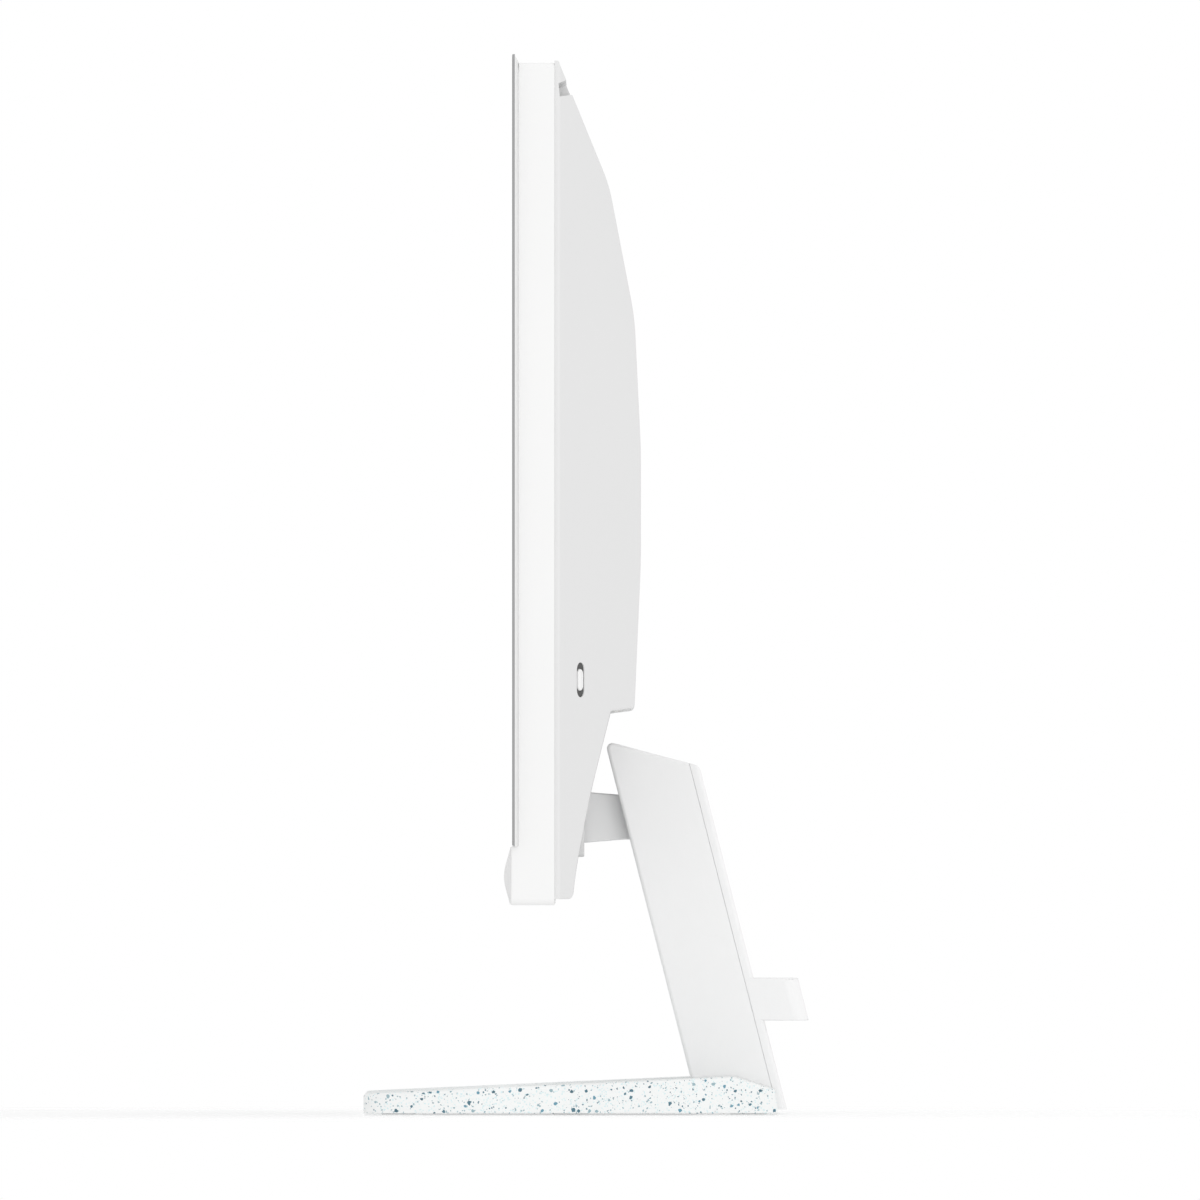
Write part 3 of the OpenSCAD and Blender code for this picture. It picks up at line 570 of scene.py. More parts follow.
def circuit_board(name, mask):
    """Printed circuit board: solder mask with fine tracks, pads and holes."""
    f = Finish(name, mask, 0.32, Coat_Weight=0.3)
    place = f.place()
    x, y, z = f.axes(place)
    lanes = ((x + z) * 420.0).fraction() < 0.28
    turned = ((x - z) * 420.0).fraction() < 0.28
    cells = f.add("ShaderNodeTexVoronoi", {"distance": "CHEBYCHEV"}, {"Vector": place, "Scale": 85.0})
    chance, kind, spread = f.axes(f.out(cells, "Color"))
    tracks = lanes * (chance < 0.4) + turned * (chance > 0.65)
    pads = f.add("ShaderNodeTexVoronoi", {}, {"Vector": place, "Scale": 210.0, "Randomness": 0.4})
    pad = f.out(pads, "Distance") < 0.16
    tone = f.blend(tracks, shade(mask, 0.75), shade(mask, 1.7))
    f.set("Base Color", f.blend(pad, tone, (0.75, 0.62, 0.33)))
    f.set("Metallic", pad * 0.9)
    f.relief(tracks + pad, 0.03 * MM)
    return f.material


def rubber(name, color):
    """Matt rubber with a cloudy bloom and a pebbled skin."""
    f = Finish(name, color, 0.75)
    place = f.place()
    bloom = f.noise(place, 120.0, 3.0)
    pebbles = f.add("ShaderNodeTexVoronoi", {}, {"Vector": place, "Scale": 1600.0})
    f.set("Base Color", f.blend(bloom, shade(color, 0.85), shade(color, 1.2)))
    f.set("Roughness", 0.68 + bloom * 0.15)
    f.relief(f.out(pebbles, "Distance"), 0.03 * MM)
    return f.material


def screen_cloth(name, color):
    """Fine woven dust screen: dark threads with rows of openings."""
    f = Finish(name, color, 0.6)
    x, y, z = f.axes(f.place())
    threads = ((x * 900.0).fraction() < 0.35) + ((z * 900.0).fraction() < 0.35)
    f.set("Base Color", f.blend(threads.math("MINIMUM", threads, 1.0), (0.006,) * 3, color))
    f.relief(threads, 0.1 * MM)
    return f.material


def clear_sheet(name, color):
    """Optical sheet: milky, smooth, with a faint prism grain."""
    f = Finish(name, color, 0.2, Coat_Weight=0.4)
    x, y, z = f.axes(f.place())
    prisms = (z * 1500.0).fraction()
    cloud = f.noise(f.place(), 25.0)
    f.set("Base Color", f.blend(cloud, shade(color, 0.96), shade(color, 1.02)))
    f.relief(prisms, 0.02 * MM, 0.5)
    return f.material


def make_finishes(colours):
    """All materials, by the record's slot."""
    return {
        "display_glass": display_finish(colours),
        "diffuser_white": clear_sheet("diffuser_sheet", (0.9, 0.9, 0.89)),
        "light_guide_clear": clear_sheet("light_guide_acrylic", (0.8, 0.88, 0.9)),
        "led_yellow": moulded("lamp_strip", (0.85, 0.75, 0.32)),
        "tray_aluminium": metal("tray_sheet", (0.72, 0.73, 0.74), 0.38, (1, 1, 12)),
        "frame_white": moulded("frame_plastic", colours.frame),
        "trim_white": moulded("nose_plastic", colours.nose, 0.5),
        "cover_white": moulded("cover_plastic", colours.cover, 0.48, 0.018),
        "button_white": moulded("button_plastic", shade(colours.frame, 1.03), 0.3, 0.004),
        "sheet_steel": metal("plated_sheet", (0.60, 0.61, 0.62), 0.35, (1, 1, 10)),
        "dark_steel": metal("black_zinc", (0.08, 0.08, 0.085), 0.4),
        "shaft_steel": metal("ground_steel", (0.66, 0.66, 0.68), 0.2, (12, 1, 1)),
        "board_green": circuit_board("circuit_board", (0.012, 0.10, 0.045)),
        "chip_dark": moulded("chip_epoxy", (0.02, 0.02, 0.022), 0.55, 0.03),
        "copper": metal("bare_copper", (0.72, 0.36, 0.20), 0.25, (1, 1, 8)),
        "fin_aluminium": metal("fin_sheet", (0.76, 0.77, 0.78), 0.3, (10, 1, 1)),
        "black_plastic": moulded("black_plastic", (0.016, 0.016, 0.018), 0.45, 0.02),
        "grey_plastic": moulded("grey_plastic", (0.07, 0.07, 0.07), 0.6),
        "port_metal": metal("nickel_shell", (0.62, 0.61, 0.59), 0.24, (1, 1, 6)),
        "cell_metal": metal("cell_steel", (0.70, 0.70, 0.70), 0.28),
        "flex_amber": clear_sheet("amber_film", (0.42, 0.20, 0.04)),
        "lens_glass": Finish("lens_glass", (0.003, 0.003, 0.006), 0.03, Coat_Weight=1.0).material,
        "stand_white": moulded("stand_plastic", colours.stand, 0.45),
        "stand_steel": metal("stand_sheet", (0.42, 0.43, 0.44), 0.4, (1, 14, 1)),
        "base_terrazzo": speckled(colours),
        "foot_rubber": rubber("foot_rubber", (0.55, 0.55, 0.55)),
        "dust_screen": screen_cloth("dust_screen", (0.03, 0.03, 0.032)),
    }


FINISHES = {}


# ---- Shapes that several pieces share ----


def inset(points, distance):
    """An anticlockwise outline moved inwards, with its corners kept sharp."""
    moved = []
    for index, here in enumerate(points):
        before = (here - points[index - 1]).normalized()
        after = (points[(index + 1) % len(points)] - here).normalized()
        m, n = Vector((-before.y, before.x)), Vector((-after.y, after.x))
        moved.append(here + (m + n) * (distance / (1 + m.dot(n))))
    return moved


def eased(points, reaches, steps=6):
    """An outline with its corners rounded by arcs, each over its own reach along both lines."""
    smooth = []
    for index, (corner, reach) in enumerate(zip(points, reaches)):
        here = Vector(corner)
        if not reach:
            smooth.append(tuple(here))
            continue
        before = (Vector(points[index - 1]) - here).normalized()
        after = (Vector(points[(index + 1) % len(points)]) - here).normalized()
        half = before.angle(after) / 2
        centre = here + (before + after).normalized() * (reach / math.cos(half))
        start, end = here + before * reach - centre, here + after * reach - centre
        turn = math.atan2(start.cross(end), start.dot(end))
        for step in range(steps + 1):
            smooth.append(tuple(centre + Matrix.Rotation(turn * step / steps, 2) @ start))
    return smooth


def cover_lines():
    """The rear cover's main heights and depths."""
    return {
        "bottom": COVER[0].z,
        "top": COVER[1].z,
        "hump": COVER[1].y,
        "ledge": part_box("usb_ports")[0].z,
        "half": COVER[1].x,
        "slot_top": COVER[1].z - 7.4 * MM,
    }


def cover_side(front, distance):
    """Outline of the rear cover seen from the side, as (y, z), moved inwards by a distance."""
    c = cover_lines()
    y0, hump, ledge, top, bottom = FRAME_REAR, c["hump"], c["ledge"], c["top"], c["bottom"]
    rise = top - ledge
    points = [
        (front, bottom), (y0 + 6.9 * MM, bottom), (y0 + 9 * MM, bottom + 15.6 * MM),
        (y0 + 14.3 * MM, bottom + 42.7 * MM), (hump - 11.9 * MM, ledge),
        (hump - 2.5 * MM, ledge + 1.2 * MM), (hump, ledge + 0.232 * rise), (hump, top - 0.598 * rise),
        (hump - 2.5 * MM, top - 0.393 * rise), (hump - 12.5 * MM, top - 0.19 * rise),
        (y0 + 1.6 * MM, top), (front, top),
    ]
    return inset([Vector(p) for p in points], distance)


def slope_plane(sizes, side, distance):
    """A point on the cover's sloping side and the way it faces, for one side."""
    c = cover_lines()
    run, rise = c["half"] - sizes.plateau, c["hump"] - FRAME_REAR - sizes.rim
    outward = Vector((side * rise, run, 0)).normalized()
    point = Vector((side * c["half"], FRAME_REAR + sizes.rim, 0)) - outward * distance
    return point, outward


def cover_form(name, sizes, front, distance, bend=0):
    """The rear cover as a solid, with its sides sloping in to the flat back."""
    c = cover_lines()
    outline = [(p.x, p.y) for p in cover_side(front, distance)]
    edge = min(bend, sizes.cover_edge * 2)
    reaches = (0, edge, bend * 0.8, bend, 0, edge, bend, bend, bend, bend * 0.8, edge, 0)
    outline = eased(outline, reaches)
    form = side_outline(name, outline, c["half"] - distance)
    for side in (-1, 1):
        slice_off(form, *slope_plane(sizes, side, distance))
    return form


def neck_window(near, far):
    """The opening that the neck comes through, with room for the tilt, between two depths."""
    half = 18.6 * MM
    return block("window", (-half, near, PIVOT.z - 11.6 * MM), (half, far, PIVOT.z + 13.4 * MM))


def upright_slot(name, width, height, depth, near):
    """A tall plug with round ends along Y, centred on the origin."""
    plug = block(name, (-width / 2, near, -height / 2), (width / 2, near + depth, height / 2))
    round_edges(plug, width * 0.499, 8, along_y)
    return plug


def set_at_button(obj):
    """Moves a piece modelled at the origin, facing +Y, onto the cover's sloping side."""
    low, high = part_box("power_button")
    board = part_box("button_board")
    middle = (board[0] + board[1]) / 2
    crown = Vector((0, 0, (low.z + high.z) / 2))
    sizes = bpy.context.scene.head_sizes
    point, outward = slope_plane(sizes, 1, 0)
    middle.z = 0
    on_skin = middle + outward * (point - middle).dot(outward)
    activate(obj)
    obj.rotation_euler = (0, 0, math.atan2(outward.y, outward.x) - math.pi / 2)
    obj.location = (on_skin.x, on_skin.y, crown.z)
    bpy.ops.object.transform_apply(location=True, rotation=True, scale=True)
    return obj


def column_front(s, z):
    """Where the column's front face is at a height."""
    return COLUMN[1].y - COLUMN_DEPTH - (z - COLUMN[0].z) * math.tan(s.lean)


def column_outline(s, near, deep, foot, drop):
    """Outline of the column from the side, between two lines parallel to its front face."""
    slope, roof = math.tan(s.lean), math.tan(s.roof)
    crest_y, crest_z = column_front(s, CREST), CREST

    def foot_point(behind):
        return crest_y + (crest_z - foot) * slope + behind, foot

    def roof_point(behind):
        down = (drop + behind * roof) / (1 - roof * slope)
        return crest_y + behind + down * slope, crest_z - down

    return [foot_point(near), foot_point(deep), roof_point(deep), roof_point(near)]


def pan_head(name, centre, axis, radius, height, recess=0.55):
    """A pan head screw's head with a cross recess, pointing along an axis."""
    axis = Vector(axis)
    head = rod(name, radius, (0, 0, 0), (0, 0, height), 40)
    round_edges(head, height * 0.55, 4, past(2, height * 0.9))
    arm, thin = radius * recess, radius * 0.13
    bars = [
        block("bar_a", (-arm, -thin, height * 0.35), (arm, thin, height * 2)),
        block("bar_b", (-thin, -arm, height * 0.35), (thin, arm, height * 2)),
    ]
    cut(head, *bars)
    activate(head)
    head.rotation_euler = axis.to_track_quat("Z", "Y").to_euler()
    head.location = centre
    bpy.ops.object.transform_apply(location=True, rotation=True, scale=True)
    return head


# ---- Head ----


class BuildDisplay(Operator):
    """Display glass with rounded corners and a ground edge"""

    bl_idname = "computer.display"
    bl_label = "Display"

    def execute(self, context):
        s = context.scene.head_sizes
        glass = block("display_panel", GLASS[0], GLASS[1])
        corner = s.corner + s.flare * 0.4
        round_edges(glass, corner, 6, lambda a, b: along_y(a, b) and a.z > CHIN_TOP + MM)
        front = GLASS[0].y + HAIR
        round_edges(glass, 0.3 * MM, 3, short_of(1, front))
        finish(glass, HEAD, "display_glass", FINISHES["display_glass"], "lcd_cell")
        return {"FINISHED"}


class BuildFrame(Operator):
    """Frame with its chin, the bevel behind the glass, the camera slot and the sound slots"""

    bl_idname = "computer.frame"
    bl_label = "Frame"

    def execute(self, context):
        s = context.scene.head_sizes
        half = GLASS[1].x - s.flare
        lip_y = GLASS[1].y + 1.6 * MM
        shell = block("frame_shell", (-half, lip_y, DESK_GAP), (half, FRAME_REAR, FRAME_TOP))
        with editing(shell, "FACE") as mesh:
            bpy.ops.mesh.select_all(action="SELECT")
            bpy.ops.mesh.bisect(plane_co=(0, 0, CHIN_TOP), plane_no=(0, 0, 1))
            pick_faces(mesh, lambda c, n: n.y < -0.9 and c.z < CHIN_TOP)
            step = FRAME[0].y - lip_y
            bpy.ops.mesh.extrude_region_move(TRANSFORM_OT_translate={"value": (0, step, 0)})
        corner_z = (DESK_GAP + MM, FRAME_TOP - MM)
        round_edges(
            shell, s.corner, 6,
            lambda a, b: along_y(a, b) and abs(a.x) > half - MM
            and not corner_z[0] < a.z < corner_z[1],
        )
        front = FRAME[0].y + HAIR
        rear = FRAME_REAR - HAIR
        round_edges(shell, 0.7 * MM, 3, short_of(1, front))
        round_edges(shell, 0.4 * MM, 3, past(1, rear))
        self.hollow(shell, s, half, lip_y)
        bevel = self.glass_bevel(s, half, lip_y)
        shell = joined("frame_shell", [shell, bevel])
        finish(shell, HEAD, "frame_white", FINISHES["frame_white"], "mid_frame")
        return {"FINISHED"}

    def glass_bevel(self, s, half, lip_y):
        """The band that widens from the frame to the back of the glass."""
        wide = GLASS[1].x - 0.35 * MM
        top = GLASS[1].z - 0.35 * MM
        band = block("glass_bevel", (-wide, GLASS[1].y, CHIN_TOP), (wide, lip_y + HAIR, top))
        round_edges(
            band, s.corner + s.flare * 0.4, 6,
            lambda a, b: along_y(a, b) and a.z > CHIN_TOP + MM,
        )
        with editing(band, "VERT") as mesh:
            for vert in mesh.verts:
                vert.select_set(vert.co.y > lip_y)
            mesh.select_flush(True)
            bpy.ops.transform.resize(
                value=(half / wide, 1, (FRAME_TOP - CHIN_TOP) / (top - CHIN_TOP)),
                center_override=(0, 0, CHIN_TOP),
            )
        inner = half - s.lip
        window = block(
            "window", (-inner, GLASS[1].y - MM, CHIN_TOP - MM), (inner, lip_y + MM, FRAME_TOP - s.lip)
        )
        return cut(band, window)

    def hollow(self, shell, s, half, lip_y):
        """Opens the frame for the panel, the speakers and the camera."""
        wall, slip = s.wall, 0.35 * MM
        inner = half - s.lip
        low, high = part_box("camera_carriage")
        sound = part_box("speaker_right")
        slot = block(
            "sound_slot", (sound[0].x + 4 * MM, GLASS[0].y + 4 * MM, DESK_GAP - MM),
            (sound[0].x + 6 * MM, GLASS[0].y + 12 * MM, DESK_GAP + wall + MM),
        )
        slot = round_edges(slot, 0.95 * MM, 4, along_z)
        right = repeated(slot, 14, (6 * MM, 0, 0))
        activate(right)
        bpy.ops.object.duplicate()
        left = bpy.context.object
        left.location.x = -(sound[0].x + sound[1].x)
        settle(left, "sound_slots_left")
        cut(
            shell,
            block(
                "window", (-inner, lip_y - MM, CHIN_TOP + slip),
                (inner, FRAME_REAR + MM, FRAME_TOP - s.lip),
            ),
            block(
                "cavity", (-half + wall, lip_y + wall, CHIN_TOP + slip),
                (half - wall, FRAME_REAR + MM, FRAME_TOP - wall),
            ),
            block(
                "chin_cavity", (-half + wall, FRAME[0].y + wall, DESK_GAP + wall),
                (half - wall, FRAME_REAR + MM, CHIN_TOP - wall),
            ),
            block(
                "camera_slot", (low.x - slip, low.y - slip, high.z - 5 * MM),
                (high.x + slip, high.y + slip, high.z + MM),
            ),
            right,
            left,
        )


class BuildNose(Operator):
    """Ridge along the front of the chin, which dies away at both ends"""

    bl_idname = "computer.nose"
    bl_label = "Chin nose"

    def execute(self, context):
        s = context.scene.head_sizes
        low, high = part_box("chin_trim")
        back = high.y
        ridge = low.z + 0.49 * (high.z - low.z)
        outline = [
            (back + 0.3 * MM, low.z), (back - 0.35 * MM, low.z), (back - s.chin_nose, ridge),
            (back - 0.1 * MM, high.z), (back + 0.3 * MM, high.z),
        ]
        nose = side_outline("chin_nose", eased(outline, (0, 0, 4.5 * MM, 0, 0)), high.x)
        for side in (-1, 1):
            outward = Vector((side * s.chin_nose, -s.nose_hip, 0)).normalized()
            slice_off(nose, (side * high.x, back, 0), outward)
        finish(nose, HEAD, "trim_white", FINISHES["trim_white"], "chin_trim", smooth=40)
        return {"FINISHED"}


class BuildCover(Operator):
    """Rear cover with its soft bends, port bay, air slot, grille and button slot"""

    bl_idname = "computer.cover"
    bl_label = "Rear cover"

    def execute(self, context):
        s = context.scene.head_sizes
        c = cover_lines()
        shell = cover_form("rear_shell", s, FRAME_REAR, 0, s.cover_bend)
        self.round_sides(shell, s, c)
        cut(shell, self.cavity(s, c))
        cut(shell, *self.openings(s, c))
        self.ease_cuts(shell)
        finish(shell, HEAD, "cover_white", FINISHES["cover_white"], "rear_cover", smooth=28)
        self.vent_fins(s, c)
        self.dust_screen(s, c)
        return {"FINISHED"}

    def round_sides(self, shell, s, c):
        """Rounds the long edges between the sloping sides, the flat back and the rim."""
        rim_y = FRAME_REAR + s.rim

        def side_edge(edge):
            normals = [face.normal for face in edge.link_faces]
            leaning = [n for n in normals if abs(n.x) > 0.2 and n.y > 0.2]
            return len(leaning) == 1 and min(v.co.y for v in edge.verts) > rim_y - HAIR

        with editing(shell) as mesh:
            for edge in mesh.edges:
                edge.select_set(side_edge(edge))
            bpy.ops.mesh.bevel(offset=s.cover_edge, segments=4, affect="EDGES", clamp_overlap=False)

    def ease_cuts(self, shell):
        """Takes the sharpness off the long straight edges of everything that was cut out."""
        near = FRAME_REAR + 3 * MM

        def cut_edge(edge):
            a, b = (v.co for v in edge.verts)
            straight = edge.is_manifold and edge.calc_face_angle() > math.radians(55)
            return straight and (a - b).length > 8 * MM and min(a.y, b.y) > near

        with editing(shell) as mesh:
            for edge in mesh.edges:
                edge.select_set(cut_edge(edge))
            bpy.ops.mesh.bevel(offset=0.25 * MM, segments=2, affect="EDGES", clamp_overlap=True)

    def cavity(self, s, c):
        """The room inside the cover, kept clear of the port bay's walls and the air slot's."""
        wall = s.cover_wall
        room = cover_form("cavity", s, FRAME_REAR - 3.4 * MM, wall)
        bay_y = FRAME_REAR + s.bay_depth
        slot_top = c["slot_top"]
        return cut(
            room,
            block("bay_walls", (-s.bay - wall, bay_y - wall, 0), (s.bay + wall, 1, c["ledge"] + wall)),
            block("slot_walls", (-1, FRAME_REAR, slot_top - s.vent - 2 * MM), (1, 1, slot_top + 1.6 * MM)),
        )

    def openings(self, s, c):
        """Everything that is cut through the cover."""
        bay_y = FRAME_REAR + s.bay_depth
        slot_top = c["slot_top"]
        slot_low = slot_top - s.vent
        rim_y = FRAME_REAR + s.rim
        low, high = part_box("hinge_cover")
        fit = 0.15 * MM
        tools = [
            side_outline(
                "air_slot",
                [
                    (rim_y - 0.5 * MM, slot_top - 1.5 * MM), (rim_y, slot_low + 0.2 * MM),
                    (rim_y + 10 * MM, slot_low + 1.6 * MM), (rim_y + 10 * MM, slot_top + 3.1 * MM),
                ],
                0.4,
            ),
            block("bay", (-s.bay, bay_y, 0), (s.bay, 0.2, c["ledge"])),
            block("seat", (low.x - fit, low.y - fit, low.z - fit), (high.x + fit, 0.2, high.z + fit)),
            neck_window(FRAME_REAR - MM, 0.2),
        ]
        tools += self.port_holes(c["ledge"], fit)
        first, half_wide, outlets, run = -198 * MM, 3 * MM, 40, 396
        outlet = block(
            "outlet", (first - half_wide, rim_y + 0.5 * MM, slot_low - 3 * MM),
            (first + half_wide, rim_y + 3.1 * MM, slot_low + 2 * MM),
        )
        round_edges(outlet, 0.8 * MM, 2, along_z)
        tools.append(repeated(outlet, outlets, (run / (outlets - 1) * MM, 0, 0)))
        slits, run = 31, 176
        for row in (0, 1):
            z = c["top"] - (122 + 19 * row) * MM
            slit = block(
                "slit", (-89.1 * MM, c["hump"] - 8 * MM, z),
                (-86.9 * MM, c["hump"] + 4 * MM, z + 13 * MM),
            )
            round_edges(slit, 1.05 * MM, 4, along_y)
            tools.append(repeated(slit, slits, (run / (slits - 1) * MM, 0, 0)))
        plug = upright_slot("button_slot", s.button_w, s.button_h, 12 * MM, -8 * MM)
        tools.append(set_at_button(plug))
        return tools

    def port_holes(self, ledge, fit):
        """Holes in the ledge for the ports, each with some room round it."""
        spans = []
        for node in ("hdmi_port", "lan_port", "power_inlet", "audio_jack"):
            a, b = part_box(node)
            spans.append((a.x, b.x, a.y, b.y))
        a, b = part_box("usb_ports")
        wide = 13.4 * MM
        for x in (a.x, a.x + 18 * MM, b.x - wide - 16.5 * MM, b.x - wide):
            spans.append((x, x + wide, a.y, b.y))
        return [
            block("port", (x0 - fit, y0 - fit, ledge - MM), (x1 + fit, y1 + fit, ledge + 6 * MM))
            for x0, x1, y0, y1 in spans
        ]

    def vent_fins(self, s, c):
        """Upright fins across the air slot, set under its lips and clear of its roof."""
        slot_top = c["slot_top"]
        slot_low = slot_top - s.vent
        y = FRAME_REAR + s.rim
        reach = s.plateau + 20 * MM
        outline = [
            (y - 1 * MM, slot_low - 0.6 * MM), (y + 11 * MM, slot_low + 0.9 * MM),
            (y + 11 * MM, slot_top + 2.1 * MM), (y - 1 * MM, slot_top - 3.2 * MM),
        ]
        fin = side_outline("fin", outline, 0.7 * MM)
        activate(fin)
        fin.location.x = -reach
        settle(fin, "vent_fins")
        fins = repeated(fin, 27, (2 * reach / 26, 0, 0))
        combine(fins, [cover_form("under_skin", s, FRAME_REAR, 0.7 * MM)], "INTERSECT")
        soften(fins, 0.15 * MM)
        finish(fins, HEAD, "cover_white", FINISHES["cover_white"])

    def dust_screen(self, s, c):
        """A dark woven screen behind the grille."""
        y = c["hump"] - s.cover_wall - 0.2 * MM
        z = c["top"] - 105 * MM
        sheet = block("dust_screen", (-94 * MM, y - 0.4 * MM, z - 40 * MM), (94 * MM, y, z))
        round_edges(sheet, 3 * MM, 4, along_y)
        finish(sheet, HEAD, "black_plastic", FINISHES["dust_screen"])


class BuildHingeCover(Operator):
    """Plate round the neck's window, with rounded corners and edges"""

    bl_idname = "computer.hinge_cover"
    bl_label = "Hinge cover"

    def execute(self, context):
        low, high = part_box("hinge_cover")
        plate = block("hinge_plate", low, high)
        round_edges(plate, 1.6 * MM, 5, along_y)
        window = round_edges(neck_window(low.y - MM, high.y + MM), 1.2 * MM, 4, along_y)
        cut(plate, window)
        outer = high.y - HAIR
        round_edges(plate, 0.45 * MM, 3, past(1, outer))
        finish(plate, HEAD, "cover_white", FINISHES["cover_white"], "hinge_cover")
        return {"FINISHED"}


class BuildButton(Operator):
    """Power button: a tall cap with round ends and a soft crown"""

    bl_idname = "computer.button"
    bl_label = "Power button"

    def execute(self, context):
        s = context.scene.head_sizes
        width, height = s.button_w - 1.8 * MM, 8.6 * MM
        slip, play = 0.1 * MM, 0.3 * MM
        cap = upright_slot("button_cap", width, height, 5.2 * MM, -4.9 * MM)
        front = 0.3 * MM - HAIR
        round_edges(cap, 0.8 * MM, 5, past(1, front))
        # A dark ring in the gap round the cap: painted shade that stands for the shadow in the gap.
        shadow_ring = upright_slot("button_shadow_ring", s.button_w - slip, s.button_h - slip, 2.3 * MM, -2.7 * MM)
        hole = upright_slot("hole", width + play, height + play, 8 * MM, -6 * MM)
        cut(shadow_ring, hole)
        set_at_button(shadow_ring)
        finish(shadow_ring, HEAD, "black_plastic", FINISHES["grey_plastic"])
        set_at_button(cap)
        finish(cap, "power_button", "button_white", FINISHES["button_white"], "power_button")
        return {"FINISHED"}


class BuildCamera(Operator):
    """Rising camera: carriage, dark window, lens and its ring"""

    bl_idname = "computer.camera"
    bl_label = "Camera"

    def execute(self, context):
        low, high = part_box("camera_carriage")
        lens_low, lens_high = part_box("camera_lens")
        middle = (lens_low + lens_high) / 2
        body = block("camera_body", low, high)
        round_edges(body, 1.2 * MM, 4, along_y)
        round_edges(body, 0.4 * MM, 3, past(2, high.z - HAIR))
        finish(body, "camera", "frame_white", FINISHES["frame_white"], "camera_carriage")
        half_wide, half_high = 22 * MM, 5 * MM
        window = block(
            "camera_window", (-half_wide, low.y - 0.15 * MM, middle.z - half_high),
            (half_wide, low.y + 0.8 * MM, middle.z + half_high),
        )
        round_edges(window, 4.9 * MM, 10, along_y)
        cut(window, rod("bore", 3.3 * MM, (0, low.y - MM, middle.z), (0, low.y + 2 * MM, middle.z)))
        soften(window, 0.1 * MM)
        finish(window, "camera", "lens_glass", FINISHES["lens_glass"])
        start, end = (0, low.y - 0.1 * MM, middle.z), (0, low.y + 2 * MM, middle.z)
        ring = rod("camera_lens_ring", 3.2 * MM, start, end)
        with editing(ring, "FACE") as mesh:
            pick_faces(mesh, lambda c, n: n.y < -0.9)
            bpy.ops.mesh.inset(thickness=0.8 * MM, depth=0)
            bpy.ops.mesh.inset(thickness=0.5 * MM, depth=-0.7 * MM)
            bpy.ops.mesh.inset(thickness=0.6 * MM, depth=0.15 * MM)
        soften(ring, 0.08 * MM)
        finish(ring, "camera", "lens_glass", FINISHES["black_plastic"], "camera_lens")
        eye = rod("camera_eye", 1.2 * MM, (0, low.y + 0.1 * MM, middle.z), (0, low.y + 0.9 * MM, middle.z))
        round_edges(eye, 0.35 * MM, 4, short_of(1, low.y + 0.1 * MM + HAIR))
        finish(eye, "camera", "lens_glass", FINISHES["lens_glass"])
        return {"FINISHED"}


class BuildCoverScrews(Operator):
    """Four pan head screws that hold the rear cover, in the port bay"""

    bl_idname = "computer.cover_screws"
    bl_label = "Cover screws"

    def execute(self, context):
        low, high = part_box("cover_screws")
        z = (low.z + high.z) / 2
        face = FRAME_REAR + context.scene.head_sizes.bay_depth
        heads = [
            pan_head(f"head_{i}", (x, face, z), (0, 1, 0), 2.8 * MM, 1.4 * MM)
            for i, x in enumerate((-132 * MM, -40 * MM, 40 * MM, 132 * MM))
        ]
        screws = joined("cover_screw_heads", heads)
        finish(screws, HEAD, "dark_steel", FINISHES["dark_steel"], "cover_screws")
        return {"FINISHED"}


# ---- Stand ----


class BuildNeck(Operator):
    """Neck that joins the hinge to the column"""

    bl_idname = "computer.neck"
    bl_label = "Neck"

    def execute(self, context):
        neck = copy_of("neck_arm", "neck_casting")
        soften(neck, 0.9 * MM, 4, 30)
        finish(neck, STAND, "stand_white", FINISHES["stand_white"], "neck_arm")
        return {"FINISHED"}


